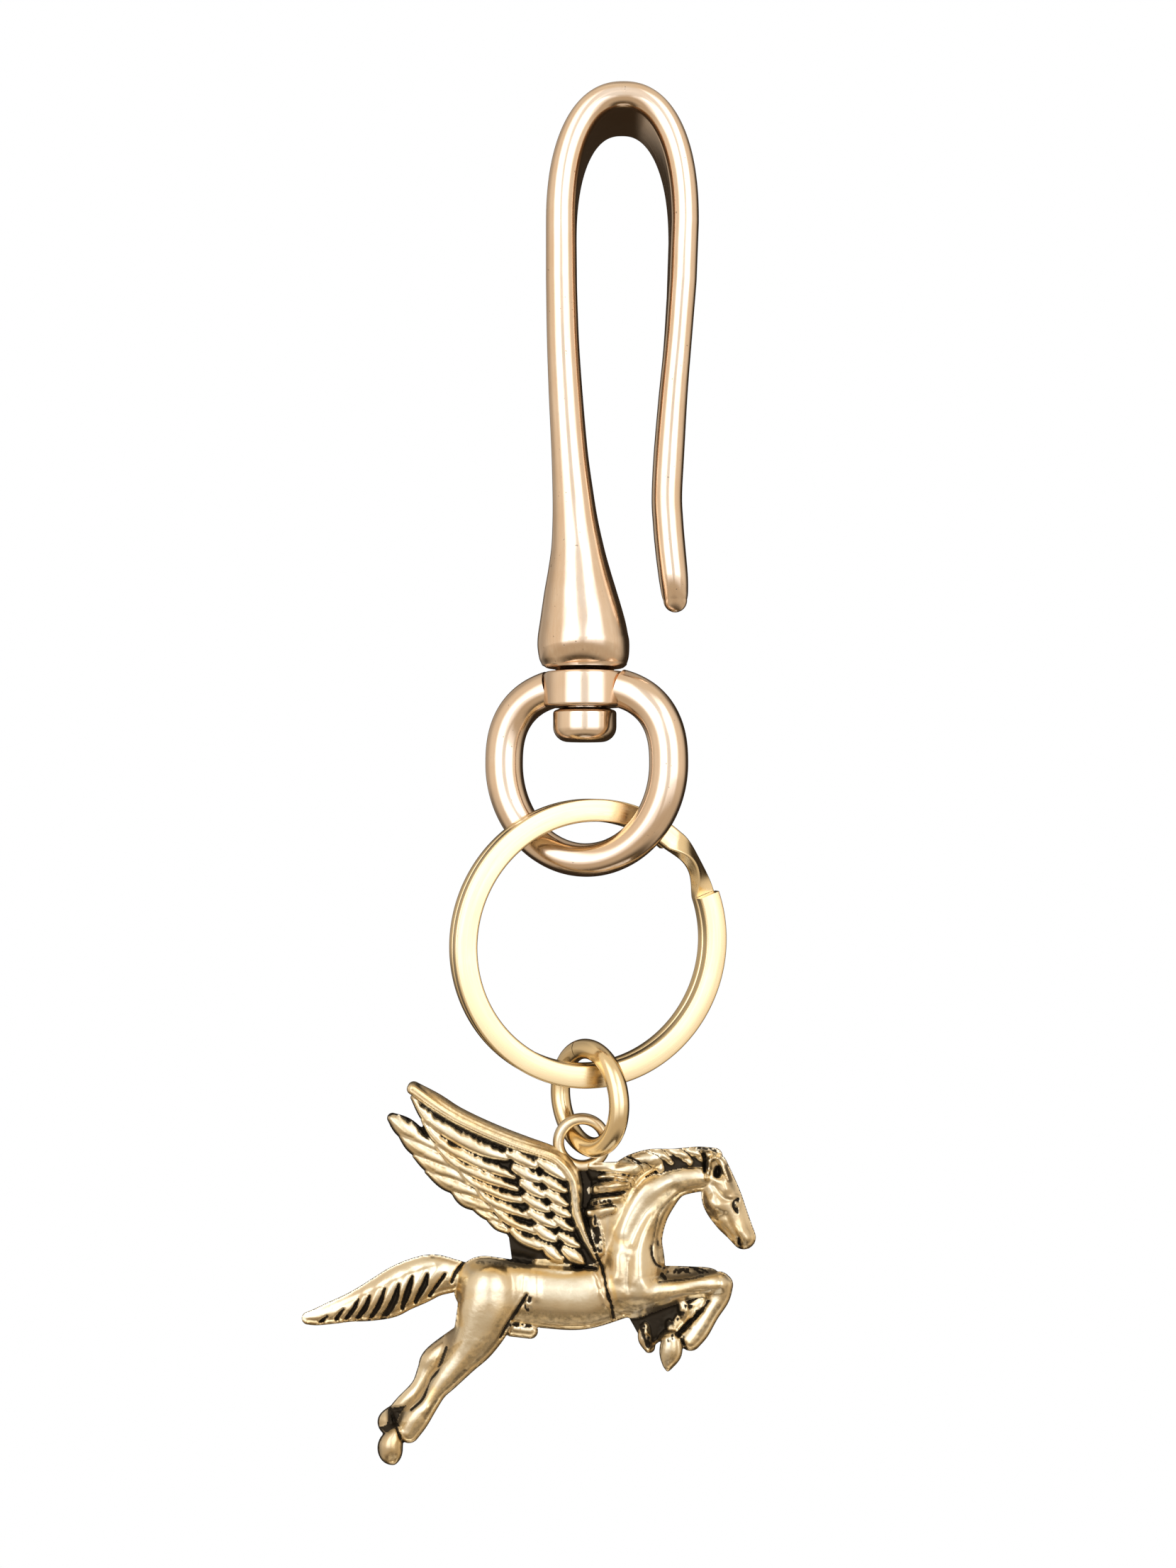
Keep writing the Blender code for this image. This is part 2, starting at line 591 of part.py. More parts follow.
def make_jump_ring(parts, cutters):
    seam = JUMP_SEAM_GAP / JUMP_RADIUS
    points = []
    for step in range(JUMP_STEPS + 1):
        angle = JUMP_SEAM_ANGLE + mix(seam / 2, math.tau - seam / 2, step / JUMP_STEPS)
        points.append((math.cos(angle) * JUMP_RADIUS, 0, math.sin(angle) * JUMP_RADIUS))
    wire = wire_curve("jump_wire", points, [1] * len(points), JUMP_WIRE / 2, 2, cutters)
    ring = add_object("jump_ring", mesh_of(wire), parts)
    ring.data.materials.append(brass("jump_brass", (0.78, 0.58, 0.28), 0.25))
    turn = Matrix.Rotation(JUMP_YAW, 4, "Z") @ Matrix.Rotation(JUMP_ROLL, 4, "Y")
    ring.data.transform(Matrix.Translation((JUMP_ACROSS, 0, JUMP_LEVEL)) @ turn)
    hang(ring, (RING_ACROSS, 0, RING_LEVEL - RING_MIDDLE))
    return ring


def place(across, down, depth):
    """Point of the charm behind a pixel, at a depth off the casting's middle, from its eye."""
    stand = CHARM_SET_BACK + depth
    spread = 1 + stand / VIEW_DISTANCE
    middle = 1 + CHARM_SET_BACK / VIEW_DISTANCE
    x = (across - VIEW_CENTRE_PIXEL[0]) * spread - (EYE_PIXEL[0] - VIEW_CENTRE_PIXEL[0]) * middle
    z = (down - VIEW_CENTRE_PIXEL[1]) * spread - (EYE_PIXEL[1] - VIEW_CENTRE_PIXEL[1]) * middle
    return Vector((x * PIXEL, depth, -z * PIXEL))


def round_ends(points):
    """Adds the shrinking rows that close a limb with a round end."""
    rows = list(points)
    for outer, inner in ((rows[0], rows[1]), (rows[-1], rows[-2])):
        span = math.hypot(outer[0] - inner[0], outer[1] - inner[1])
        caps = []
        for share in LIMB_END_SHARES:
            step = outer[2] * share / span
            caps.append((outer[0] + (outer[0] - inner[0]) * step,
                         outer[1] + (outer[1] - inner[1]) * step,
                         outer[2] * math.sqrt(1 - share ** 2)))
        rows = list(reversed(caps)) + rows if outer is points[0] else rows + caps
    return rows


def limb(points, set_off, fullness, where):
    """Tapered tube through a limb's points; fullness is its depth over its width."""
    rows = round_ends(points)
    knots = [place(across, down, 0) for across, down, half in rows]
    wire = wire_curve("limb", knots, [half for across, down, half in rows], PIXEL,
                      TUBE_RESOLUTION, where)
    mesh = mesh_of(wire)
    middle = Matrix.Translation(place(*VIEW_CENTRE_PIXEL, 0))
    spread = 1 + set_off / (VIEW_DISTANCE + CHARM_SET_BACK)
    mesh.transform(Matrix.Diagonal((1, fullness, 1, 1)))
    mesh.transform(middle @ Matrix.Diagonal((spread, 1, spread, 1)) @ middle.inverted())
    mesh.transform(Matrix.Translation((0, set_off, 0)))
    return mesh


def web(outline, set_off, half, where):
    """Flat plate that closes the ground between limbs or feathers."""
    curve = bpy.data.curves.new("web", "CURVE")
    curve.dimensions = "2D"
    curve.fill_mode = "BOTH"
    curve.extrude = half
    spline = curve.splines.new("POLY")
    spline.points.add(len(outline) - 1)
    for knot, (across, down) in zip(spline.points, outline):
        point = place(across, down, set_off)
        knot.co = (point.x, point.z, 0, 1)
    spline.use_cyclic_u = True
    plate = add_object("web", curve, where)
    plate.location = (0, set_off, 0)
    plate.rotation_euler = (math.radians(90), 0, 0)
    return mesh_of(plate)


def turned_down(points, angle):
    """A wing's places, turned about its root in the picture's plane."""
    c = math.cos(angle)
    s = math.sin(angle)
    out = []
    for across, down, *half in points:
        u = across - WING_ROOT[0]
        v = down - WING_ROOT[1]
        out.append((WING_ROOT[0] + u * c + v * s, WING_ROOT[1] - u * s + v * c, *half))
    return out


def wing(side, feathers, turn, where):
    """One wing: side -1 is the front one, side 1 the back one."""
    wing_set = side * WING_SET_PIXELS * PIXEL
    web_depth = WING_WEB_PIXELS * PIXEL
    rib = turned_down(WING_RIB, turn)
    meshes = [limb(rib, wing_set * RIB_STAND, RIB_FULLNESS, where)]
    for feather in feathers:
        meshes.append(limb(feather, wing_set, FEATHER_FULLNESS, where))
    for feather in COVERT_FEATHERS:
        row = turned_down(feather, turn)
        meshes.append(limb(row, wing_set * RIB_STAND, FEATHER_FULLNESS, where))
    outline = turned_down(WING_OUTLINE, turn)
    meshes.append(web(outline, side * web_depth / 2, web_depth * WEB_OVERLAP / 2, where))
    return meshes


def eye_loop(where):
    knots = []
    for step in range(EYE_STEPS):
        angle = math.tau * step / EYE_STEPS
        knots.append((math.cos(angle) * EYE_MIDDLE, 0, math.sin(angle) * EYE_MIDDLE))
    wire = wire_curve("eye", knots, [1] * len(knots), EYE_BAR / 2, TUBE_RESOLUTION, where,
                      cyclic=True)
    mesh = mesh_of(wire)
    mesh.transform(Matrix.Diagonal((1, EYE_BAR_DEPTH / EYE_BAR, 1, 1)))
    return mesh


def eye_foot(where):
    """The stub of casting that joins the eye to the withers."""
    knots = [Vector((0, 0, -EYE_MIDDLE)), place(*EYE_FOOT_PIXEL, 0)]
    wire = wire_curve("eye_foot", knots, [1, 1], EYE_BAR_DEPTH / 2, TUBE_RESOLUTION, where)
    return mesh_of(wire)


def make_horse(parts, cutters):
    leg_set = LEG_SET_PIXELS * PIXEL
    meshes = [
        limb(BARREL, 0, BARREL_FULLNESS, cutters),
        limb(CHEST, 0, CHEST_FULLNESS, cutters),
        limb(HEAD, 0, HEAD_FULLNESS, cutters),
        limb(MANE, 0, MANE_FULLNESS, cutters),
        limb(TAIL, 0, TAIL_FULLNESS, cutters),
        limb(NEAR_HIND, -leg_set, THIGH_FULLNESS, cutters),
        limb(NEAR_HIND_HOOF, -leg_set, HOOF_FULLNESS, cutters),
        limb(FAR_HIND, leg_set, LEG_FULLNESS, cutters),
        limb(FAR_HIND_HOOF, leg_set, HOOF_FULLNESS, cutters),
        limb(NEAR_FORELEG, -leg_set, LEG_FULLNESS, cutters),
        limb(NEAR_FORE_HOOF, -leg_set, HOOF_FULLNESS, cutters),
        limb(FAR_FORELEG, leg_set, LEG_FULLNESS, cutters),
        limb(SHEATH, leg_set / 2, LEG_FULLNESS, cutters),
        web(FORELEG_WEB_OUTLINE, 0, FORELEG_WEB_PIXELS * PIXEL, cutters),
        web(WITHERS_WEB_OUTLINE, 0, WITHERS_WEB_PIXELS * PIXEL, cutters),
        eye_loop(cutters),
        eye_foot(cutters),
    ]
    meshes += wing(-1, PRIMARY_FEATHERS, 0, cutters)
    meshes += wing(1, FAR_FEATHERS, FAR_WING_TURN, cutters)
    shape = bmesh.new()
    for mesh in meshes:
        shape.from_mesh(mesh)
        bpy.data.meshes.remove(mesh)
    body = bpy.data.meshes.new("winged_horse")
    shape.to_mesh(body)
    shape.free()
    horse = add_object("winged_horse", body, parts)
    horse.data.materials.append(brass("antique_brass", (0.62, 0.50, 0.30), 0.32))
    skin = horse.modifiers.new("casting_skin", "REMESH")
    skin.mode = "VOXEL"
    skin.voxel_size = SKIN_PIXELS * PIXEL
    skin.use_smooth_shade = True
    ease = horse.modifiers.new("casting_ease", "SMOOTH")
    ease.factor = SKIN_EASE
    ease.iterations = 2
    fewer = horse.modifiers.new("fewer_faces", "DECIMATE")
    fewer.ratio = HORSE_FACE_SHARE
    horse.data.transform(Matrix.Translation((EYE_ACROSS, CHARM_SET_BACK, EYE_LEVEL)))
    hang(horse, (JUMP_ACROSS, 0, JUMP_LEVEL - JUMP_RADIUS))
    return horse


def build():
    clear_scene()
    parts = collection(PARTS)
    cutters = collection(CUTTERS)
    make_hook(parts, cutters)
    make_pin(parts)
    make_bow(parts, cutters)
    make_split_ring(parts, cutters)
    make_jump_ring(parts, cutters)
    make_horse(parts, cutters)


build()
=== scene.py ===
"""Brass keychain: a belt hook with a swivel bow, a split ring, a jump ring and a winged horse."""

import math

import bmesh
import bpy
import numpy as np
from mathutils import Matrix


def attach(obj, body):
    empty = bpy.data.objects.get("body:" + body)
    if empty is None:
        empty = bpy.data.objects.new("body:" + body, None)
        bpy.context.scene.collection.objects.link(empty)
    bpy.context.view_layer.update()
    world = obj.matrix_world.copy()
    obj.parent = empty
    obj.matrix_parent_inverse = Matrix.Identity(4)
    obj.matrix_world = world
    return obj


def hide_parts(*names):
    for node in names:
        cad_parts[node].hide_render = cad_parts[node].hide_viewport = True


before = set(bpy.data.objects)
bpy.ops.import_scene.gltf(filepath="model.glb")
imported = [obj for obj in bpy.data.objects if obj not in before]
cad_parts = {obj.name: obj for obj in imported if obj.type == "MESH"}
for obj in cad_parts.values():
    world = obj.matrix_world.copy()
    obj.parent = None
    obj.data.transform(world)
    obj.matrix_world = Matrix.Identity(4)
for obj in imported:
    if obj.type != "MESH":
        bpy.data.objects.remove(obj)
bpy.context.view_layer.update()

# The view and the light. The keychain hangs in a tent of white cloth, lit from outside: cloth
# walls on its left and right, a cloth roof, a slit for the camera in front, and dark ground
# behind and below that the brass shows along its edges.
MM = 0.001
VIEW_DISTANCE = 161 * MM  # from the viewpoint to the keychain's middle plane
VIEW_ACROSS = -3.6425 * MM
VIEW_LEVEL = -69.825 * MM
VIEW_LENS = 34.99
VIEW_FILM = 36.0
FLOOR_LEVEL = -300 * MM
FLOOR_RADIUS = 60 * MM
FLOOR_THICKNESS = 2 * MM
FLOOR_SIDES = 96
FLOOR_COLOUR = (0.86, 0.85, 0.83, 1.0)

eye = bpy.data.cameras.new("viewpoint")
eye.lens = VIEW_LENS
eye.sensor_width = VIEW_FILM
viewpoint = bpy.data.objects.new("viewpoint", eye)
viewpoint.location = (VIEW_ACROSS, -VIEW_DISTANCE, VIEW_LEVEL)
viewpoint.rotation_euler = (math.radians(90), 0, 0)
bpy.context.scene.collection.objects.link(viewpoint)
bpy.context.scene.camera = viewpoint
bpy.context.scene.view_settings.view_transform = "Standard"


class Feed:
    """A value that runs through a finish's nodes. Sums and products of it add Math nodes."""

    def __init__(self, tree, socket=None):
        self.tree = tree
        self.socket = socket

    def node(self, kind, settings=None, values=None, output=0):
        """Adds a node: its settings first, then the values or feeds of its sockets."""
        made = self.tree.nodes.new(kind)
        for name, value in (settings or {}).items():
            setattr(made, name, value)
        for key, value in (values or {}).items():
            if isinstance(value, Feed):
                self.tree.links.new(value.socket, made.inputs[key])
            else:
                made.inputs[key].default_value = value
        return Feed(self.tree, made.outputs[output] if made.outputs else None)

    def maths(self, operation, *terms):
        return self.node("ShaderNodeMath", {"operation": operation}, dict(enumerate(terms)))

    def __add__(self, other):
        return self.maths("ADD", self, other)

    def __radd__(self, other):
        return self.maths("ADD", other, self)

    def __sub__(self, other):
        return self.maths("SUBTRACT", self, other)

    def __rsub__(self, other):
        return self.maths("SUBTRACT", other, self)

    def __mul__(self, other):
        return self.maths("MULTIPLY", self, other)

    def __rmul__(self, other):
        return self.maths("MULTIPLY", other, self)

    def rise(self, start, end):
        """0 up to start, 1 from end, with an easy slope between them."""
        ends = {"Value": self, "From Min": start, "From Max": end}
        return self.node("ShaderNodeMapRange", {"interpolation_type": "SMOOTHSTEP"}, ends)

    def between(self, start, end, slope):
        """1 between start and end, with an easy slope inside each of them."""
        return self.rise(start, start + slope) * (1 - self.rise(end - slope, end))

    def blend(self, low, high):
        """A colour between two others, by this share."""
        sockets = {0: self, 6: low, 7: high}
        return self.node("ShaderNodeMix", {"data_type": "RGBA"}, sockets, 2)


def new_tree(owner):
    """Empties an owner's nodes and returns a feed that adds to them."""
    owner.use_nodes = True
    owner.node_tree.nodes.clear()
    return Feed(owner.node_tree)


WHITE_CLOTH = (1.25, 1.30, 1.42, 1.0)
CREAM_CLOTH = (0.53, 0.46, 0.38, 1.0)
CAMERA_SLIT = (0.34, 0.32, 0.285, 1.0)
SHADED_CLOTH = (0.27, 0.235, 0.195, 1.0)
ROOF_CLOTH = (0.50, 0.44, 0.36, 1.0)
TABLE_EDGE = (0.34, 0.28, 0.21, 1.0)
GROUND = (0.020, 0.014, 0.009, 1.0)
TABLE = (0.12, 0.085, 0.045, 1.0)
PAPER = (1.0, 1.0, 1.0, 1.0)
TENT_LIGHT = 1.75
# Where the tent's parts begin and end: degrees round from the camera
SLIT_SIDE = (3.5, 9)
SLIT_SPREAD = 9  # what the slit gains on each side at its top
SLIT_SHARE = 0.72
CAMERA_SIDE = (9, 14)
CAMERA_SHARE = 0.75
FOLDED_SIDE = (14, 40)
FOLD_SHARE = 0.35
FOLDS = 0.11  # folds in a degree
CREAM_SIDE = (44, 62)
SHADED_SIDE = (78, 130)
SHADED_ROOF_SIDE = (95, 170)
TABLE_SIDE = (90, 130)
FAR_RIGHT_SIDE = (98, 122)
FAR_SIDE = (142, 166)
# and degrees up from level
SLIT_TOP = (21, 31)
CAMERA_LEVELS = (-14, 17, 7)
ROOF_LEVELS = (38, 62)
FAR_TOP = (20, 60)
SKIRT_LEVELS = (-30, -12)
WALL_LEVELS = (-12, -5)
SKIRT_LIGHT = 0.45
TABLE_EDGE_LEVELS = (-72, -44)
TABLE_LEVELS = (-78, -62)


def light_tent():
    """The tent's cloth by the direction that a ray leaves in; the camera itself sees white."""
    world = bpy.data.worlds.new("light_tent")
    bpy.context.scene.world = world
    tent = new_tree(world)
    way = tent.node("ShaderNodeTexCoord", output="Generated")
    across, away, up = (tent.node("ShaderNodeSeparateXYZ", values={0: way}, output=axis)
                        for axis in range(3))
    turn = tent.maths("ARCTAN2", tent.maths("ABSOLUTE", across), -1 * away) * math.degrees(1)
    height = tent.maths("ARCSINE", up) * math.degrees(1)
    left = 1 - across.rise(-0.15, 0.15)
    fold = tent.node("ShaderNodeTexNoise", {"noise_dimensions": "1D"}, {
        "W": turn * FOLDS + left * 7.0, "Scale": 1.0, "Detail": 3.0, "Roughness": 0.7})
    slit = (1 - (turn - height.rise(*SLIT_TOP) * SLIT_SPREAD).rise(*SLIT_SIDE)) * SLIT_SHARE
    camera = (1 - turn.rise(*CAMERA_SIDE)) * height.between(*CAMERA_LEVELS)
    camera *= CAMERA_SHARE
    folds = fold.rise(0.45, 0.75) * turn.rise(*FOLDED_SIDE) * FOLD_SHARE
    cream = tent.maths("MINIMUM", turn.rise(*CREAM_SIDE) + folds, 1.0)
    wall = cream.blend(WHITE_CLOTH, CREAM_CLOTH)
    wall = tent.maths("MAXIMUM", slit, camera).blend(wall, CAMERA_SLIT)
    wall = (turn.rise(*SHADED_SIDE) * (0.5 + fold)).blend(wall, SHADED_CLOTH)
    roof = height.rise(*ROOF_LEVELS)
    wall = roof.blend(wall, ROOF_CLOTH)
    wall = (roof * turn.rise(*SHADED_ROOF_SIDE)).blend(wall, SHADED_CLOTH)
    edge = height.rise(*TABLE_EDGE_LEVELS) * (1 - turn.rise(*TABLE_SIDE))
    edge = (1 - height.rise(*TABLE_LEVELS)).blend(edge.blend(GROUND, TABLE_EDGE), TABLE)
    far_right = turn.rise(*FAR_RIGHT_SIDE) * (1 - left)
    far = tent.maths("MAXIMUM", far_right, turn.rise(*FAR_SIDE)) * (1 - height.rise(*FAR_TOP))
    lit = (height.rise(*SKIRT_LEVELS) * SKIRT_LIGHT
           + height.rise(*WALL_LEVELS) * (1 - SKIRT_LIGHT)) * (1 - far)
    light = lit.blend(edge, wall)
    shown = tent.node("ShaderNodeBackground", values={"Color": light, "Strength": TENT_LIGHT})
    plain = tent.node("ShaderNodeBackground", values={"Color": PAPER, "Strength": 1.0})
    seen = tent.node("ShaderNodeLightPath", output="Is Camera Ray")
    through = tent.node("ShaderNodeLightPath", output="Is Transmission Ray")
    mixed = tent.node("ShaderNodeMixShader", values={
        0: tent.maths("MAXIMUM", seen, through), 1: shown, 2: plain})
    tent.node("ShaderNodeOutputWorld", values={0: mixed})


light_tent()


def smooth(mesh):
    mesh.shade_smooth()
    mesh.set_sharp_from_angle(angle=math.radians(35))


def floor_board(name):
    """The round board under the keychain, its upper edge rounded."""
    flat_radius = FLOOR_RADIUS - FLOOR_THICKNESS
    foot = FLOOR_LEVEL - 2 * FLOOR_THICKNESS
    rim = [(0.0, FLOOR_LEVEL), (flat_radius, FLOOR_LEVEL)]
    rim += [(flat_radius + FLOOR_THICKNESS * math.sin(angle),
             FLOOR_LEVEL - FLOOR_THICKNESS * (1 - math.cos(angle)))
            for angle in np.linspace(0.2, math.pi / 2, 6)]
    rim += [(FLOOR_RADIUS, foot), (0.0, foot)]
    shape = bmesh.new()
    knots = [shape.verts.new((radius, 0, level)) for radius, level in rim]
    edges = [shape.edges.new(pair) for pair in zip(knots, knots[1:])]
    bmesh.ops.spin(shape, geom=knots + edges, cent=(0, 0, 0), axis=(0, 0, 1),
                   angle=math.tau, steps=FLOOR_SIDES, use_merge=True)
    bmesh.ops.remove_doubles(shape, verts=shape.verts, dist=1e-7)
    bmesh.ops.recalc_face_normals(shape, faces=shape.faces)
    mesh = bpy.data.meshes.new(name)
    shape.to_mesh(mesh)
    shape.free()
    smooth(mesh)
    made = bpy.data.objects.new(name, mesh)
    bpy.context.scene.collection.objects.link(made)
    return made


floor = floor_board("floor")
paint = bpy.data.materials.new("floor_paper")
paper = new_tree(paint)
fibre = paper.node("ShaderNodeTexNoise", values={"Scale": 900.0, "Detail": 3.0})
board = paper.node("ShaderNodeBsdfPrincipled", values={
    "Base Color": fibre.blend(FLOOR_COLOUR, PAPER), "Roughness": 0.9})
paper.node("ShaderNodeOutputMaterial", values={0: board})
floor.data.materials.append(paint)


# Hook. One brass casting, rosy and polished: a flat band bent over as the belt hook, that runs
# down into a round boss. Its point is narrower and ends round. The boss is bored for the pin.
HOOK_DROP = 57.6 * MM
ARCH_WIDTH = 12.86 * MM
ARCH_RISE = 13.1 * MM
ARCH_FULLNESS = 2.3
LEG_LEAN = 2.45 * MM
BAND_THICKNESS = 3.15 * MM
CROWN_THICKNESS = 2.9 * MM
BAND_DEPTH = 8.9 * MM
BOSS_DIAMETER = 9.7 * MM
POINT_DROP = 51.7 * MM
POINT_SWAY = 1.75 * MM
POINT_DEPTH = 4.0 * MM
POINT_END_TAPER = 0.5
BORE_DIAMETER = 4.4 * MM
BORE_DEPTH = 7.3 * MM
# How far the boss's foot and the point draw in front to back, from where down, and how late
BOSS_TUCK, BOSS_TUCK_START, BOSS_TUCK_CURVE = 0.22, 0.95, 1.6
POINT_TUCK, POINT_TUCK_START, POINT_TUCK_CURVE = 0.68, 0.925, 1.5
BOSS_FOOT_SQUASH = 0.88
BOSS_FOOT_RADII = (0.40 * BOSS_DIAMETER, 0.425 * BOSS_DIAMETER)
BOSS_FOOT_ROUND = 0.08 * MM
SHOULDER_RADIUS = 3.35 * MM
SHOULDER_TAPER = 0.45 * MM
SHOULDER_HEIGHT = 0.3 * MM
PIN_ACROSS = LEG_LEAN - ARCH_WIDTH / 2
ROSY = (0.84, 0.69, 0.54, 1.0)
ROSY_DEEP = (0.78, 0.59, 0.42, 1.0)
OLD_POLISH = (0.10, 0.06, 0.03, 1.0)
# Height below the crown, lean, swell from band to boss, and flatness, as shares
LEG_SHARES = [
    (0.994, 0.01, 0.88, 0.00), (0.981, 0.02, 0.96, 0.00), (0.962, 0.05, 1.00, 0.00),
    (0.946, 0.08, 0.99, 0.00), (0.918, 0.11, 0.91, 0.00), (0.863, 0.20, 0.70, 0.00),
    (0.820, 0.26, 0.52, 0.02), (0.779, 0.32, 0.37, 0.06), (0.734, 0.41, 0.26, 0.12),
    (0.686, 0.50, 0.185, 0.20), (0.608, 0.65, 0.105, 0.36), (0.500, 0.82, 0.06, 0.60),
    (0.406, 0.93, 0.03, 0.78), (0.300, 0.99, 0.01, 0.92),
]
# Height, sway, thickness and flatness down the point, as shares
POINT_SHARES = [
    (0.340, 0.12, 0.90, 0.90), (0.452, 0.36, 0.88, 0.72), (0.560, 0.64, 0.93, 0.50),
    (0.677, 0.88, 1.00, 0.28), (0.763, 1.00, 1.00, 0.15), (0.815, 0.93, 1.00, 0.08),
    (0.867, 0.80, 1.00, 0.03), (0.924, 0.62, 0.97, 0.00), (0.960, 0.52, 0.90, 0.00),
    (0.975, 0.49, 0.80, 0.00),
]
HOOK_SIDES = 72
HOOK_STEPS = 7
ARCH_STEPS = 96
POINT_END_ANGLES = np.radians(np.arange(8, 89, 8))


def mix(low, high, share):
    return low + (high - low) * share


def flow(rows, steps):
    """A smooth curve through rows of numbers, in the given steps per span."""
    rows = np.array(rows, float)
    out = []
    for index in range(len(rows) - 1):
        a = rows[max(index - 1, 0)]
        b = rows[index]
        c = rows[index + 1]
        d = rows[min(index + 2, len(rows) - 1)]
        for t in np.arange(steps) / steps:
            bend = (c - a) * t + (2 * a - 5 * b + 4 * c - d) * t ** 2
            out.append(b + (bend + (3 * b - a - 3 * c + d) * t ** 3) / 2)
    out.append(rows[-1])
    return np.array(out)


def face_outwards(mesh):
    """Turns a closed mesh's faces outwards and drops the points that no face uses."""
    shape = bmesh.new()
    shape.from_mesh(mesh)
    loose = [knot for knot in shape.verts if not knot.link_faces]
    bmesh.ops.delete(shape, geom=loose, context="VERTS")
    bmesh.ops.recalc_face_normals(shape, faces=shape.faces)
    shape.to_mesh(mesh)
    shape.free()


def skin(rings, grain=None, closed=False):
    """A mesh over rings of points, capped unless its rings close on themselves. Its grain is
    each point's place along the metal: length, then the place in the section, so that streaks
    and scratches can follow it."""
    rings = np.asarray(rings, float)
    count, sides = rings.shape[:2]
    if grain is None:
        middles = rings.mean(1)
        offset = rings - middles[:, None]
        steps = np.linalg.norm(np.diff(middles, axis=0), axis=1)
        grain = np.empty_like(rings)
        grain[:, :, 0] = np.concatenate([[0.0], np.cumsum(steps)])[:, None]
        grain[:, :, 1] = offset[:, :, 1]
        grain[:, :, 2] = np.hypot(offset[:, :, 0], offset[:, :, 2]) * np.sign(
            offset[:, :, 0] + 1e-9)
    faces = []
    for low in range(count if closed else count - 1):
        high = (low + 1) % count
        for side in range(sides):
            after = (side + 1) % sides
            faces.append((low * sides + side, low * sides + after,
                          high * sides + after, high * sides + side))
    if not closed:
        faces.append(tuple(range(sides)))
        faces.append(tuple(range((count - 1) * sides, count * sides)))
    mesh = bpy.data.meshes.new("skin")
    mesh.from_pydata(rings.reshape(-1, 3).tolist(), [], faces)
    face_outwards(mesh)
    lay = mesh.attributes.new("grain", "FLOAT_VECTOR", "POINT")
    lay.data.foreach_set("vector", grain.reshape(-1).astype(np.float32))
    return mesh


def piece(name, mesh, finish, body, node):
    """Shows a mesh in place of its CAD node, with its finish, on its body."""
    mesh.name = name
    smooth(mesh)
    mesh.materials.append(finish)
    made = bpy.data.objects.new(name, mesh)
    bpy.context.scene.collection.objects.link(made)
    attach(made, body)
    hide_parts(node)


def tucked(height, start, amount, curve):
    """What is left of the depth where an end draws in."""
    end = max(height - start, 0) / (1 - start)
    return 1 - amount * end ** curve


def hook_stations():
    """Centre across, level, thickness and depth from the boss to the point."""
    rows = []
    for height, lean, swell, flat in flow(LEG_SHARES, HOOK_STEPS):
        thick = mix(BAND_THICKNESS, BOSS_DIAMETER, swell)
        left = tucked(height, BOSS_TUCK_START, BOSS_TUCK, BOSS_TUCK_CURVE)
        rows.append((PIN_ACROSS - LEG_LEAN * lean, -HOOK_DROP * height, thick,
                     mix(thick, BAND_DEPTH, flat) * left))
    springing = CROWN_THICKNESS / 2 - ARCH_RISE
    for step in range(ARCH_STEPS + 1):
        angle = math.pi * step / ARCH_STEPS
        reach = abs(math.cos(angle)) ** (2 / ARCH_FULLNESS)
        lift = abs(math.sin(angle)) ** (2 / ARCH_FULLNESS) if 0 < step < ARCH_STEPS else 0.0
        end = BAND_THICKNESS * mix(1, POINT_SHARES[0][2], step / ARCH_STEPS)
        rows.append((math.copysign(reach, -math.cos(angle)) * ARCH_WIDTH / 2,
                     springing + lift * ARCH_RISE,
                     mix(end, CROWN_THICKNESS, math.sin(angle) ** 2), BAND_DEPTH))
    for height, sway, girth, flat in flow(POINT_SHARES, HOOK_STEPS):
        left = tucked(height, POINT_TUCK_START, POINT_TUCK, POINT_TUCK_CURVE)
        rows.append((ARCH_WIDTH / 2 - POINT_SWAY * sway, -POINT_DROP * height,
                     BAND_THICKNESS * girth, mix(POINT_DEPTH * girth, BAND_DEPTH, flat) * left))
    across, level, thick, deep = rows[-1]
    lead = (across - rows[-2][0]) / (level - rows[-2][1])
    for angle in POINT_END_ANGLES:
        reach = (POINT_DROP + level) * math.sin(angle)
        rows.append((across - lead * reach, level - reach, thick * math.cos(angle),
                     deep * math.cos(angle) * (1 - POINT_END_TAPER * math.sin(angle))))
    return np.array(rows)


def hook_rings():
    """The boss's bore from its blind end, its dark shoulder and foot, then the band."""
    rows = hook_stations()
    along = np.gradient(rows[:, :2], axis=0)
    along[0] = (0, 1)
    along /= np.linalg.norm(along, axis=1)[:, None]
    turn = np.linspace(0, math.tau, HOOK_SIDES, endpoint=False)
    c, s = np.cos(turn), np.sin(turn)
    foot = -HOOK_DROP
    shoulder = foot - SHOULDER_HEIGHT
    rings = []
    for radius, level, squash in (
            (BORE_DIAMETER / 2, foot + BORE_DEPTH, 1), (BORE_DIAMETER / 2, shoulder, 1),
            (SHOULDER_RADIUS - SHOULDER_TAPER, shoulder, 1), (SHOULDER_RADIUS, foot, 1),
            (BOSS_FOOT_RADII[0], foot, BOSS_FOOT_SQUASH),
            (BOSS_FOOT_RADII[1], foot + BOSS_FOOT_ROUND, BOSS_FOOT_SQUASH)):
        rings.append(np.stack([PIN_ACROSS + radius * c, radius * s * squash,
                               np.full_like(c, level)], 1))
    for (across, level, thick, deep), (run, lift) in zip(rows, along):
        u = c * thick / 2
        v = s * min(thick, deep) / 2 + np.sign(s.round(9)) * max(deep - thick, 0) / 2
        rings.append(np.stack([across + lift * u, v, level - run * u], 1))
    return rings


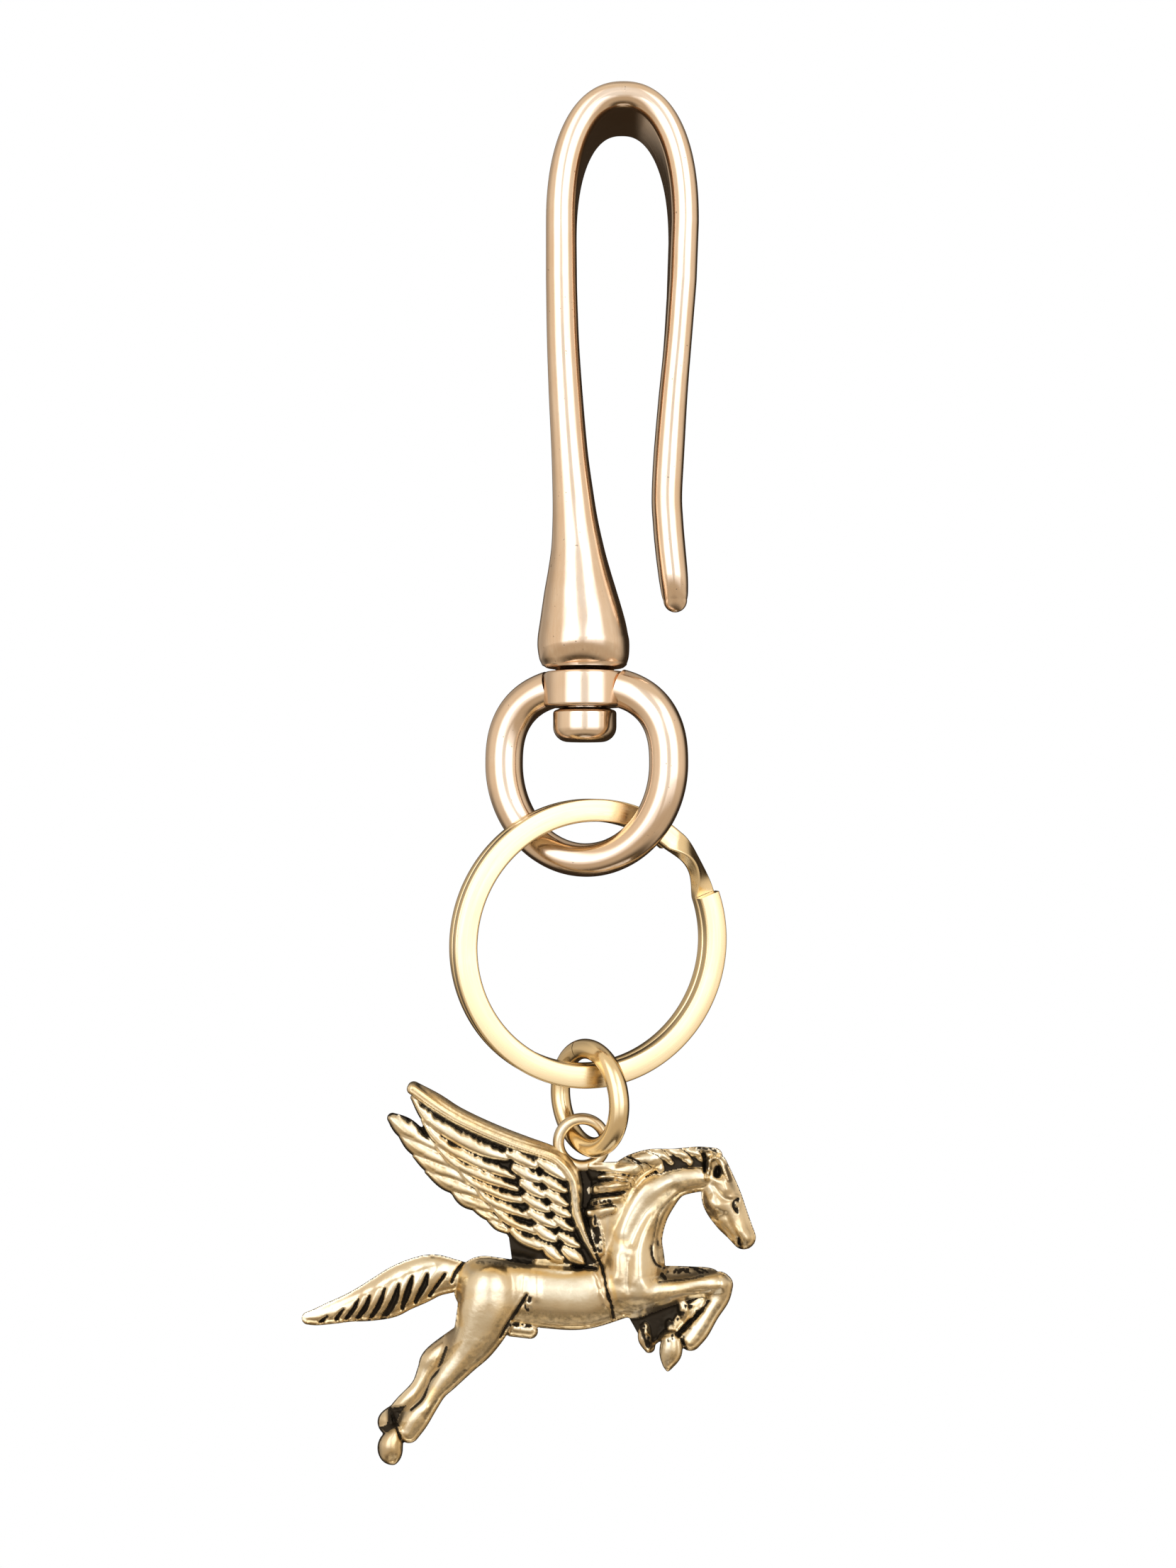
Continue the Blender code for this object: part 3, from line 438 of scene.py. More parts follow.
def polished_brass(name, colour, deep, streaks, roughness=(0.10, 0.22), pits=0.0, dent=0.1):
    """Brass polished by hand: tone that drifts, haze and fine scratches along the metal, and
    small pits that hold old polish."""
    finish = bpy.data.materials.new(name)
    brass = new_tree(finish)
    lay = brass.node("ShaderNodeAttribute", {"attribute_name": "grain"}, output="Vector")
    place = brass.node("ShaderNodeTexCoord", output="Object")
    drift = brass.node("ShaderNodeTexNoise", values={
        "Vector": place, "Scale": 220.0, "Detail": 3.0, "Roughness": 0.6})
    drawn = brass.node("ShaderNodeMapping", values={"Vector": lay, "Scale": (90, 2600, 2600)})
    streak = brass.node("ShaderNodeTexNoise", values={
        "Vector": drawn, "Scale": 1.0, "Detail": 4.0, "Roughness": 0.65})
    scored = brass.node("ShaderNodeMapping", values={"Vector": lay, "Scale": (500, 9000, 9000)})
    score = brass.node("ShaderNodeTexNoise", values={
        "Vector": scored, "Scale": 1.0, "Detail": 2.0})
    scratch = score.rise(0.66, 0.74)
    speck = brass.node("ShaderNodeTexNoise", values={
        "Vector": place, "Scale": 2600.0, "Detail": 1.0})
    pit = speck.rise(0.74, 0.80) * pits
    tone = (drift * 0.7 + streak * 0.6 * streaks).rise(0.35, 0.85)
    base = pit.blend(tone.blend(colour, deep), OLD_POLISH)
    smoothest, roughest = roughness
    gloss = smoothest + (roughest - smoothest) * streak.rise(0.3, 0.7)
    gloss = gloss + 0.25 * pit + 0.06 * scratch
    swell = brass.node("ShaderNodeTexNoise", values={"Vector": place, "Scale": 330.0})
    relief = swell * dent + streak * 0.02 * streaks - scratch * 0.01 * streaks - pit * 0.08
    face = brass.node("ShaderNodeBump", values={
        "Height": relief, "Strength": 0.6, "Distance": 0.15 * MM})
    shader = brass.node("ShaderNodeBsdfPrincipled", values={
        "Base Color": base, "Metallic": 1.0, "Roughness": gloss, "Normal": face})
    brass.node("ShaderNodeOutputMaterial", values={0: shader})
    return finish


hook_finish = polished_brass("hook_rosy_brass", ROSY, ROSY_DEEP, 1.0, pits=0.6)
piece("belt_hook", skin(hook_rings()), hook_finish, "hook", "hook")


# Swivel pin. A turned rosy brass button head under the bow's collar; its shank goes up through
# the collar and is fixed in the hook's boss.
PIN_DIAMETER = 4.0 * MM
PIN_SEAT_DEPTH = 7.0 * MM
PIN_HEAD_DIAMETER = 6.7 * MM
PIN_HEAD_HEIGHT = 3.4 * MM
PIN_HEAD_ROUND = 1.6 * MM
PIN_SHOULDER_RADIUS = 3.0 * MM
PIN_SHOULDER_TAPER = 0.5 * MM
PIN_SHOULDER_HEIGHT = 0.22 * MM
PIN_END_ROUND = 0.4 * MM
SWIVEL_GAP = 0.4 * MM
SEAT_GAP = 0.3 * MM
COLLAR_HEIGHT = 3.7 * MM
COLLAR_TOP = -HOOK_DROP - SWIVEL_GAP
COLLAR_FOOT = COLLAR_TOP - COLLAR_HEIGHT
HEAD_TOP = COLLAR_FOOT - SEAT_GAP
HEAD_FOOT = HEAD_TOP - PIN_HEAD_HEIGHT
TURNED_SIDES = 72
PIN_ROSY = (0.84, 0.68, 0.52, 1.0)


def corner(radius, level, size, steps, side):
    """A rounded corner of a turned piece: its upper one for side 1, its lower one for -1."""
    out = []
    for angle in np.linspace(0, math.pi / 2, steps + 1):
        out.append((radius - size + size * math.sin(angle),
                    level - side * (size - size * math.cos(angle))))
    return out[::side]


def turned(profile, across):
    """Rings of a turned piece about an upright axis."""
    turn = np.linspace(0, math.tau, TURNED_SIDES, endpoint=False)
    return [np.stack([across + r * np.cos(turn), r * np.sin(turn), np.full_like(turn, z)], 1)
            for r, z in profile]


pin_profile = corner(PIN_DIAMETER / 2, -HOOK_DROP + PIN_SEAT_DEPTH, PIN_END_ROUND, 4, 1)
pin_profile += [(PIN_DIAMETER / 2, HEAD_TOP + PIN_SHOULDER_HEIGHT),
                (PIN_SHOULDER_RADIUS - PIN_SHOULDER_TAPER, HEAD_TOP + PIN_SHOULDER_HEIGHT),
                (PIN_SHOULDER_RADIUS, HEAD_TOP)]
pin_profile += corner(PIN_HEAD_DIAMETER / 2, HEAD_TOP, PIN_END_ROUND, 5, 1)
pin_profile += corner(PIN_HEAD_DIAMETER / 2, HEAD_FOOT, PIN_HEAD_ROUND, 10, -1)
pin_finish = polished_brass("pin_rosy_brass", PIN_ROSY, ROSY_DEEP, 0.4, pits=0.3)
piece("swivel_pin_head", skin(turned(pin_profile, PIN_ACROSS)), pin_finish, "hook", "swivel_pin")


# Swivel bow. Rosy brass, cast and polished: a round collar that turns on the pin, with a loop
# of thick round wire below it for the rings.
COLLAR_DIAMETER = 8.7 * MM
COLLAR_EDGE = 0.35 * MM
BOW_WIDTH = 18.5 * MM
BOW_WAIST = COLLAR_FOOT - 6.0 * MM
BOW_UPPER_RISE = 8.3 * MM
BOW_SHOULDER = 2.5
BOW_LOWER_DROP = 10.16 * MM
BOW_SIDE_WIRE = 4.05 * MM
BOW_FOOT_WIRE = 3.55 * MM
BOW_YAW = math.radians(-20)
BOW_START_ANGLE = math.radians(20)
BOW_STEPS = 170
WIRE_SIDES = 40
BOW_ROSY = (0.83, 0.67, 0.52, 1.0)
ACROSS, FRONT_TO_BACK, UP = 0, 1, 2


def swung(points, angle, first, second):
    """Points turned by an angle from one axis towards another."""
    c, s = math.cos(angle), math.sin(angle)
    out = points.copy()
    out[..., first] = points[..., first] * c - points[..., second] * s
    out[..., second] = points[..., first] * s + points[..., second] * c
    return out


def upright_wire(path, radii):
    """Rings of a round wire whose path lies in the plane across and up."""
    along = np.gradient(path, axis=0)
    along /= np.linalg.norm(along, axis=1)[:, None]
    turn = np.linspace(0, math.tau, WIRE_SIDES, endpoint=False)
    rings = []
    for (across, level), (run, lift), radius in zip(path, along, radii):
        u = np.cos(turn) * radius
        rings.append(np.stack([across + lift * u, np.sin(turn) * radius, level - run * u], 1))
    return np.array(rings)


def joined(*meshes):
    """Several closed meshes as one, with their grain."""
    shape = bmesh.new()
    for mesh in meshes:
        shape.from_mesh(mesh)
    both = bpy.data.meshes.new("joined")
    shape.to_mesh(both)
    shape.free()
    return both


bow_path = []
bow_radii = []
for angle in np.linspace(BOW_START_ANGLE, math.tau - BOW_START_ANGLE, BOW_STEPS + 1):
    rise, reach = math.cos(angle), math.sin(angle)
    bow_radii.append(mix(BOW_SIDE_WIRE, BOW_FOOT_WIRE, max(-rise, 0) ** 2) / 2)
    if rise > 0:
        rise = rise ** (2 / BOW_SHOULDER) * BOW_UPPER_RISE
        reach = math.copysign(abs(reach) ** (2 / BOW_SHOULDER), reach)
    else:
        rise *= BOW_LOWER_DROP
    bow_path.append((reach * BOW_WIDTH / 2, BOW_WAIST + rise))
bow_wire = swung(upright_wire(np.array(bow_path), bow_radii), BOW_YAW, ACROSS, FRONT_TO_BACK)
bow_wire[..., ACROSS] += PIN_ACROSS
collar_profile = [(BORE_DIAMETER / 2, COLLAR_FOOT), (BORE_DIAMETER / 2, COLLAR_TOP)]
collar_profile += corner(COLLAR_DIAMETER / 2, COLLAR_TOP, COLLAR_EDGE, 5, 1)
collar_profile += corner(COLLAR_DIAMETER / 2, COLLAR_FOOT, COLLAR_EDGE, 5, -1)
collar = skin(turned(collar_profile, PIN_ACROSS), closed=True)
bow_finish = polished_brass("bow_rosy_brass", BOW_ROSY, ROSY_DEEP, 0.8, pits=0.5)
piece("swivel_bow_loop", joined(collar, skin(bow_wire)), bow_finish, "bow", "swivel_bow")


# Split ring. Flat yellow brass wire, two coils deep, its broad faces brushed round and its
# edges broken; the front coil's cut end lies at the right-hand side, where the wire steps back.
RING_DIAMETER = 30.4 * MM
RING_BAND = 2.4 * MM
COIL_THICKNESS = 1.25 * MM
COIL_GAP = 0.12 * MM
COIL_EDGE = 0.25 * MM
RING_SLACK = 2.3 * MM
RING_SHIFT = 0.7 * MM
RING_YAW = math.radians(20)
RING_END_ANGLE = math.radians(20)
RING_STEP_ANGLE = math.radians(30)
RING_STEP_TWIST = math.radians(52)  # the wire turns its inner side out where it steps back
RING_STEP_WAIST = 0.12  # and is narrower there by this share
RING_STEP_PUSH = 0.3 * MM  # and stands out by this
RING_STEPS = 470
RING_INSIDE = RING_DIAMETER / 2 - RING_BAND
RING_MIDDLE = (RING_DIAMETER - RING_BAND) / 2
BOW_FOOT = BOW_WAIST - BOW_LOWER_DROP
RING_ACROSS = PIN_ACROSS + RING_SHIFT
RING_LEVEL = BOW_FOOT + BOW_FOOT_WIRE / 2 + RING_SLACK - RING_INSIDE
YELLOW = (0.90, 0.76, 0.47, 1.0)
YELLOW_DEEP = (0.86, 0.68, 0.40, 1.0)


def band_section():
    """Half-width and half-height places round the flat wire's section, corners rounded."""
    out = []
    wide, tall = RING_BAND / 2 - COIL_EDGE, COIL_THICKNESS / 2 - COIL_EDGE
    for quarter, (x, y) in enumerate(((wide, tall), (-wide, tall), (-wide, -tall), (wide, -tall))):
        for angle in np.radians(np.linspace(0, 90, 5)) + quarter * math.pi / 2:
            out.append((x + COIL_EDGE * math.cos(angle), y + COIL_EDGE * math.sin(angle)))
    return np.array(out)


section = band_section()
coils = []
coil_grain = []
for coiled in np.linspace(0, 2 * math.tau - RING_STEP_ANGLE, RING_STEPS + 1):
    share = min(max((coiled - math.tau + RING_STEP_ANGLE) / RING_STEP_ANGLE, 0), 1)
    height = (COIL_THICKNESS + COIL_GAP) / 2 * math.cos(math.pi * share)
    angle = RING_END_ANGLE - coiled
    bend = math.sin(math.pi * share)
    c, s = math.cos(RING_STEP_TWIST * bend), math.sin(RING_STEP_TWIST * bend)
    wide, tall = section[:, 0] * (1 - RING_STEP_WAIST * bend), section[:, 1]
    reach = RING_MIDDLE + RING_STEP_PUSH * bend + wide * c + tall * s
    front = height + tall * c - wide * s
    coils.append(np.stack([reach * math.cos(angle), -front, reach * math.sin(angle)], 1))
    coil_grain.append(np.insert(section, 0, coiled * RING_MIDDLE, 1))
coils = swung(np.array(coils), RING_YAW, ACROSS, FRONT_TO_BACK) + (RING_ACROSS, 0, RING_LEVEL)
ring_finish = polished_brass("ring_yellow_brass", YELLOW, YELLOW_DEEP, 1.6, (0.16, 0.30), dent=0.02)
piece("split_key_ring", skin(coils, np.array(coil_grain)), ring_finish, "key_ring", "split_ring")


# Jump ring. Round yellow brass wire, bent into a circle and butted; it hangs on the split ring
# and carries the charm.
JUMP_DIAMETER = 12.4 * MM
JUMP_WIRE = 2.1 * MM
JUMP_SLACK = 0.5 * MM
JUMP_SHIFT = 0.45 * MM
JUMP_YAW = math.radians(-53)
JUMP_ROLL = math.radians(4)
JUMP_SEAM_ANGLE = math.radians(112)
JUMP_SEAM_GAP = 0.1 * MM
JUMP_STEPS = 160
JUMP_ACROSS = PIN_ACROSS + JUMP_SHIFT
JUMP_RADIUS = (JUMP_DIAMETER - JUMP_WIRE) / 2
JUMP_LEVEL = RING_LEVEL - RING_INSIDE + JUMP_SLACK + JUMP_WIRE / 2 - JUMP_RADIUS
JUMP_YELLOW = (0.85, 0.66, 0.38, 1.0)

half_seam = JUMP_SEAM_GAP / JUMP_RADIUS / 2
jump_turn = JUMP_SEAM_ANGLE + np.linspace(half_seam, math.tau - half_seam, JUMP_STEPS + 1)
jump_path = np.stack([np.cos(jump_turn), np.sin(jump_turn)], 1) * JUMP_RADIUS
jump_wire = swung(upright_wire(jump_path, [JUMP_WIRE / 2] * len(jump_path)), JUMP_ROLL, UP, ACROSS)
jump_wire = swung(jump_wire, JUMP_YAW, ACROSS, FRONT_TO_BACK) + (JUMP_ACROSS, 0, JUMP_LEVEL)
jump_finish = polished_brass("jump_yellow_brass", JUMP_YELLOW, YELLOW_DEEP, 1.0, (0.12, 0.24))
piece("jump_link", skin(jump_wire), jump_finish, "link", "jump_ring")


# Winged horse. One antiqued brass casting in relief on both sides, with its own eye at the
# withers. Its high places are polished to pale gold and its recesses keep their dark patina.
# Its lines are lists of places in the photograph's pixels, each with a half-width there.
CHARM_SPAN = 48.2 * MM
CHARM_SPAN_PIXELS = 643
PIXEL = CHARM_SPAN / CHARM_SPAN_PIXELS
VIEW_CENTRE = (829.5, 1106)
EYE_PIXEL = (821, 1611)
EYE_SLACK = 1.1 * MM
EYE_SHIFT = -0.75 * MM
CHARM_SET_BACK = 0.9 * MM
EYE_BAR = 1.2 * MM
EYE_BAR_DEPTH = 1.4 * MM
EYE_INSIDE = (JUMP_WIRE + 1.7 * MM) / 2
EYE_MIDDLE = EYE_INSIDE + EYE_BAR / 2
EYE_ACROSS = JUMP_ACROSS + EYE_SHIFT
EYE_LEVEL = JUMP_LEVEL - JUMP_RADIUS + JUMP_WIRE / 2 + EYE_SLACK - EYE_INSIDE
EYE_STEPS = 96
EYE_BAR_SIDES = 24
GRID = 1.35  # pixels of the photograph between the casting's points
LEFT, TOP, RIGHT, BOTTOM = 420, 1518, 1074, 2074
OUTSIDE = -60.0  # the height where there is no metal
UNREACHED = 1e9
THINNEST = 0.3  # half the casting's thickness at its thinnest
FRONT, BACK, BOTH = (1, 0), (0, 1), (1, 1)
LEAN = 0.15  # how far round strokes turn to face the view
COVER_DEPTH = 1.5  # how far a stroke has to stand over another to cover its patina
STROKE_STEPS = 10
MARK_MARGIN = 3.0
SKIN_MARGIN = 6.0
# Where across a limb or a feather its dark edge starts, and how wide that is; a feather's peak,
# the raggedness of its lower edge, and the half-width at which it stands at its full rise
LIMB_DARK, LIMB_DARK_WIDTH = 0.72, 0.25
FEATHER_DARK, FEATHER_DARK_WIDTH = 0.74, 0.2
FEATHER_PEAK, FEATHER_RAGGED, FEATHER_HALF = 0.3, 3.0, 8
FEATHER_FLATNESS = 2.4

PX, PY = np.meshgrid(np.arange(LEFT, RIGHT, GRID), np.arange(TOP, BOTTOM, GRID))
heights = np.full((2,) + PX.shape, OUTSIDE)  # front and back surfaces, off the middle plane
edge_in = np.full(PX.shape, OUTSIDE)  # how far each point lies inside the outline
# patina in the hollows and grooves, and painted shade on the undersides, the rib's back and the
# breast
patina_and_shade = np.zeros((2,) + PX.shape)
yellow = np.zeros(PX.shape)
chance = np.random.default_rng(11)


def rough(scale, tall=1.0):
    """Smooth random waves over the casting, -1 to 1, of a size in pixels."""
    rows = int((BOTTOM - TOP) / (scale * tall)) + 4
    columns = int((RIGHT - LEFT) / scale) + 4
    grid = chance.uniform(-1, 1, (rows, columns))
    y = (PY - TOP) / (scale * tall) + 1
    x = (PX - LEFT) / scale + 1
    r, c = y.astype(int), x.astype(int)
    v, u = y - r, x - c
    u, v = u * u * (3 - 2 * u), v * v * (3 - 2 * v)
    low = grid[r, c] * (1 - u) + grid[r, c + 1] * u
    high = grid[r + 1, c] * (1 - u) + grid[r + 1, c + 1] * u
    return low * (1 - v) + high * v


crumb = 0.6 * rough(3.2) + 0.4 * rough(7.0)
lump = 0.5 * rough(15.0) + 0.5 * rough(32.0)
teeth = 0.7 * rough(2.6, 4.0) + 0.5 * rough(6.0, 1.5)


def trail(rows, margin=14.0):
    """Where a stroke reaches: the grid's window, distance off its line, half-width there,
    place across it from -1 to 1, and its lean: what a round stroke gains by facing the view."""
    rows = flow(rows, STROKE_STEPS if len(rows) > 2 else 1)
    reach = rows[:, 2].max() + margin
    low = np.maximum((rows[:, :2].min(0) - reach - (LEFT, TOP)) / GRID, 0).astype(int)
    high = ((rows[:, :2].max(0) + reach - (LEFT, TOP)) / GRID).astype(int) + 2
    window = (..., slice(low[1], high[1]), slice(low[0], high[0]))
    x, y = PX[window], PY[window]
    best, off = np.full((2,) + x.shape, UNREACHED)
    half, place, lean = np.ones(x.shape), np.zeros(x.shape), np.zeros(x.shape)
    for (ax, ay, ar), (bx, by, br) in zip(rows, rows[1:]):
        dx, dy = bx - ax, by - ay
        size = max(dx * dx + dy * dy, 1e-9)
        t = np.clip(((x - ax) * dx + (y - ay) * dy) / size, 0, 1)
        ox, oy = x - ax - dx * t, y - ay - dy * t
        d = np.hypot(ox, oy)
        radius = ar + (br - ar) * t
        facing = oy * (y - VIEW_CENTRE[1]) + ox * (x - VIEW_CENTRE[0])
        closer = d - radius < best
        for kept, value in ((best, d - radius), (off, d), (half, radius),
                            (place, np.sign(dx * oy - dy * ox) * d / radius),
                            (lean, facing * PIXEL * LEAN / VIEW_DISTANCE)):
            kept[closer] = value[closer]
    return window, off, half, place, lean


def melt(low, high, width):
    """The larger of two surfaces, with a fillet of that width between them."""
    if not width:
        return np.maximum(low, high)
    share = np.clip(0.5 + 0.5 * (high - low) / width, 0, 1)
    return low + (high - low) * share + width * share * (1 - share) * 0.5


def outlined(rows, peak, ragged, bite):
    """Widens the outline by a stroke, and gives the stroke's window, half-width, place and lean.
    Its place is 0 at its peak and 1 along both edges, one of which may be ragged."""
    window, off, half, place, lean = trail(rows)
    inside = edge_in[window]
    np.maximum(inside, half - off, out=inside)
    place = place + ragged / half * teeth[window] * np.clip(-place * bite, 0, 1)
    place = np.where(place > peak, (place - peak) / (1 - peak), (peak - place) / (1 + peak))
    return window, half, place, lean


def lay(window, dome, coat, stand, sides, fillet=0.0):
    """Lays a surface and its patina on each side, where it stands over what is there."""
    for face, (shown, sign) in enumerate(zip(sides, (1, -1))):
        if shown:
            view, shade = heights[face][window], patina_and_shade[face][window]
            surface = dome + sign * stand
            shade += (coat - shade) * np.clip((surface - view) / COVER_DEPTH, 0, 1)
            view[:] = melt(view, surface, fillet)


def limb(rows, stand, fullness, fillet=0.0, peak=0.0, ragged=0.0, sides=BOTH, slope=3.0,
         dark=0.0, edge=0.0):
    """Adds a rounded limb that stands off the middle plane towards the front by stand."""
    window, half, place, lean = outlined(rows, peak, ragged, 2)
    dome = np.where(place < 1, fullness * half * np.maximum(1 - place ** 2, 0) ** 0.6,
                    (1 - place) * half * slope)
    coat = dark + edge * np.clip((place - LIMB_DARK) / LIMB_DARK_WIDTH, 0, 1)
    lay(window, dome, coat, stand + lean, sides, fillet)


def feather(rows, stand, rise, sides):
    """Adds a low round feather with a ragged edge and dark along both its edges."""
    window, half, place, lean = outlined(rows, FEATHER_PEAK, FEATHER_RAGGED, 1.6)
    dome = rise * np.sqrt(half / FEATHER_HALF) * (1 - place ** FEATHER_FLATNESS)
    coat = np.clip((place - FEATHER_DARK) / FEATHER_DARK_WIDTH, 0, 1)
    lay(window, np.where(place < 1.15, dome, OUTSIDE), coat, stand + lean, sides)


def twin(rows, stand, **style):
    """The same limb on both sides of the casting."""
    limb(rows, stand, sides=FRONT, **style)
    limb(rows, -stand, sides=BACK, **style)


def web(outline, stand):
    """Fills an outline with a thin dark web between the limbs."""
    nearest = np.full(PX.shape, UNREACHED)
    inside = np.zeros(PX.shape, bool)
    for (ax, ay), (bx, by) in zip(outline, outline[1:] + outline[:1]):
        dx, dy = bx - ax, by - ay
        t = np.clip(((PX - ax) * dx + (PY - ay) * dy) / (dx * dx + dy * dy), 0, 1)
        nearest = np.minimum(nearest, np.hypot(PX - ax - dx * t, PY - ay - dy * t))
        if dy:
            inside ^= ((ay > PY) != (by > PY)) & (PX < ax + (PY - ay) * dx / dy)
    depth = np.where(inside, nearest, -nearest)
    np.maximum(edge_in, depth, out=edge_in)
    surface = np.where(depth > -2, stand + np.minimum(depth, 0), OUTSIDE)
    patina_and_shade[surface > heights] = 1.0
    np.maximum(heights, surface, out=heights)


def press(rows, depth, dark=1.0, ragged=0.0, steep=2.0):
    """Cuts a groove along a line and darkens it; a negative depth raises a bead."""
    window, off, half, place, lean = trail(rows, MARK_MARGIN)
    share = np.clip(1 - (off + ragged * crumb[window]) / half, 0, 1)
    share = share * share * (3 - 2 * share)
    heights[window] -= depth * share
    shade = patina_and_shade[window]
    np.maximum(shade, dark * np.clip(share * steep, 0, 1), out=shade)


def lock(rows, rise, edge=0.9, ragged=0.0):
    """Raises a clean strand on both sides, with dark along its edges."""
    window, off, half, place, lean = trail(rows, MARK_MARGIN)
    across = np.clip((off + ragged * crumb[window]) / half, 0, 1)
    heights[window] += rise * np.sqrt(1 - across ** 2)
    coat = edge * np.clip((across - 0.7) / 0.3, 0, 1)
    shown = across < 1
    patina_and_shade[window][:, shown] = coat[shown]


def swell(rows, rise):
    """Raises or, below zero, sinks the surface softly."""
    window, off, half, place, lean = trail(rows, rows[0][2])
    heights[window] += rise * np.exp(-2 * (off / half) ** 2)


def pit(rows, depth, dark=0.6):
    """Leaves the casting's own rough skin along a line."""
    window, off, half, place, lean = trail(rows, SKIN_MARGIN)
    share = np.clip(1.4 - 1.4 * off / half, 0, 1)
    grain = crumb[window] + 0.6 * teeth[window]
    heights[window] += depth * share * grain
    shade = patina_and_shade[window]
    np.maximum(shade, dark * share * np.clip(0.7 - grain * 1.6, 0, 1), out=shade)


def tint(rows, amount=1.0):
    """Leaves the metal yellower along a line."""
    window, off, half, place, lean = trail(rows, SKIN_MARGIN)
    shade = yellow[window]
    np.maximum(shade, amount * np.clip(1.3 - 1.3 * off / half, 0, 1), out=shade)


def soften(turns):
    """Evens the surface inside the outline."""
    inside = edge_in > 0
    for again in range(turns):
        total, weight = np.zeros(heights.shape), np.zeros(PX.shape)
        for down in (-1, 0, 1):
            for right in (-1, 0, 1):
                near = np.roll(inside, (down, right), (0, 1))
                total += near * np.roll(heights, (down, right), (1, 2))
                weight += near
        heights[:] = np.where(inside, total / np.maximum(weight, 1), heights)


def draw(marks):
    """Works down a list of marks: each is its tool, its line and the tool's settings, in the
    order in which the tool takes them, such as a groove's depth, darkness and raggedness."""
    for tool, line, *settings in marks:
        tool(line, *settings)


# Barrel, neck, tail and head, and the web that fills the withers
BARREL = [(684, 1815, 44), (720, 1821, 45), (770, 1827, 46), (820, 1829, 46), (868, 1817, 44)]
NECK = [(1002, 1662, 18), (978, 1662, 20), (950, 1669, 22), (925, 1687, 30), (907, 1714, 34),
        (895, 1748, 39), (893, 1785, 45), (893, 1816, 43)]
CREST = [(1008, 1630, 11), (985, 1628, 11), (950, 1633, 13), (915, 1638, 17), (885, 1655, 22),
         (862, 1690, 28), (858, 1740, 24), (856, 1780, 18)]
WITHERS_TOP = [(826, 1647, 7), (850, 1647, 8), (880, 1650, 12)]
WITHERS = [(826, 1660, 14), (832, 1700, 16), (842, 1750, 14)]
TAIL = [(660, 1800, 18), (636, 1799, 24), (611, 1799, 30), (588, 1807, 33), (565, 1817, 33),
        (547, 1827, 32), (520, 1837, 26), (495, 1844, 20), (470, 1851, 16), (448, 1857, 12),
        (435, 1859, 9)]
HEAD = [(1008, 1644, 18), (1013, 1666, 23), (1018, 1690, 28), (1029, 1713, 25), (1041, 1732, 20),
        (1049, 1745, 17)]
WITHERS_WEB = [(806, 1648), (838, 1643), (866, 1640), (892, 1648), (880, 1700), (870, 1800),
               (835, 1803), (815, 1760), (803, 1700)]
for rows, fullness, fillet in ((BARREL, 0.78, 6), (NECK, 0.85, 8), (CREST, 0.8, 6),
                               (WITHERS_TOP, 1.0, 4), (WITHERS, 0.5, 4), (TAIL, 0.62, 5),
                               (HEAD, 0.82, 5)):
    limb(rows, 0, fullness, fillet)
soften(2)
web(WITHERS_WEB, 8)

# Hind legs
NEAR, FAR = 20.0, -20.0
THIGH = [(690, 1822, 44), (686, 1850, 41), (671, 1888, 32)]
FAR_HIND_LEG = [(650, 1890, 20), (614, 1915, 18), (602, 1932, 13), (592, 1955, 12), (571, 1979, 13),
                (562, 1988, 12)]
FAR_HIND_HOOF = [(556, 1992, 11), (548, 2004, 15), (550, 2014, 12)]
HIND_LEG = [(690, 1822, 40), (686, 1850, 41), (671, 1888, 32), (653, 1916, 23), (631, 1943, 18),
            (617, 1961, 14), (604, 1981, 14), (587, 2002, 18), (577, 2020, 15)]
HIND_HOOF_WEB = [(550, 1988), (574, 1984), (584, 2008), (566, 2024), (548, 2018)]
HIND_HOOF = [(562, 2020, 10), (552, 2035, 17), (551, 2047, 17), (554, 2057, 9)]
twin(THIGH, NEAR * 0.6, fullness=0.72, fillet=12)
limb(FAR_HIND_LEG, FAR, 1.0, 4, edge=0.7)
limb(FAR_HIND_HOOF, FAR, 1.1, edge=0.9)
limb(HIND_LEG, NEAR, 0.72, 7)
soften(2)
web(HIND_HOOF_WEB, 4)
limb(HIND_HOOF, NEAR, 1.1, edge=0.9)

# Forelegs, the web and the ragged metal between them, and the small form under the belly
FAR_FORELEG = [(940, 1803, 18), (975, 1799, 13), (1004, 1803, 13), (1000, 1822, 11),
               (965, 1850, 12), (935, 1872, 13), (916, 1888, 12), (916, 1900, 8)]
FORELEG_WEB = [(880, 1845), (905, 1890), (930, 1892), (958, 1890), (985, 1862), (1010, 1830),
               (960, 1812)]
FOREARM = [(912, 1823, 26), (935, 1821, 20), (955, 1819, 16), (985, 1813, 14), (1014, 1811, 18)]
CANNON = [(1018, 1812, 16), (1014, 1830, 15), (1000, 1853, 14), (986, 1876, 15), (974, 1890, 15)]
FETLOCK = [(990, 1840, 12), (970, 1858, 15), (950, 1882, 13)]
FORE_HOOF = [(947, 1892, 15), (946, 1907, 16), (943, 1922, 9), (942, 1931, 3)]
FAR_FORE_HOOF = [(910, 1872, 9), (909, 1888, 9), (915, 1902, 6)]
UNDER_BELLY = [(722, 1874, 11), (748, 1877, 11)]
FORELEG_CRUMBS = [[(962, 1837, 5), (966, 1848, 8), (965, 1862, 4)], [(978, 1846, 4), (979, 1858, 5)],
                  [(944, 1866, 4), (947, 1875, 6)], [(962, 1870, 6), (955, 1882, 8), (948, 1888, 7)]]
limb(FAR_FORELEG, FAR, 1.0, 3)
web(FORELEG_WEB, 5)
limb(FOREARM, NEAR * 0.7, 0.95, 14)
limb(CANNON, NEAR * 0.7, 0.8, peak=-0.3, edge=0.4)
soften(1)
limb(FETLOCK, 6, 0.5, ragged=3.0, edge=0.9)
limb(FORE_HOOF, NEAR, 0.8, edge=0.6)
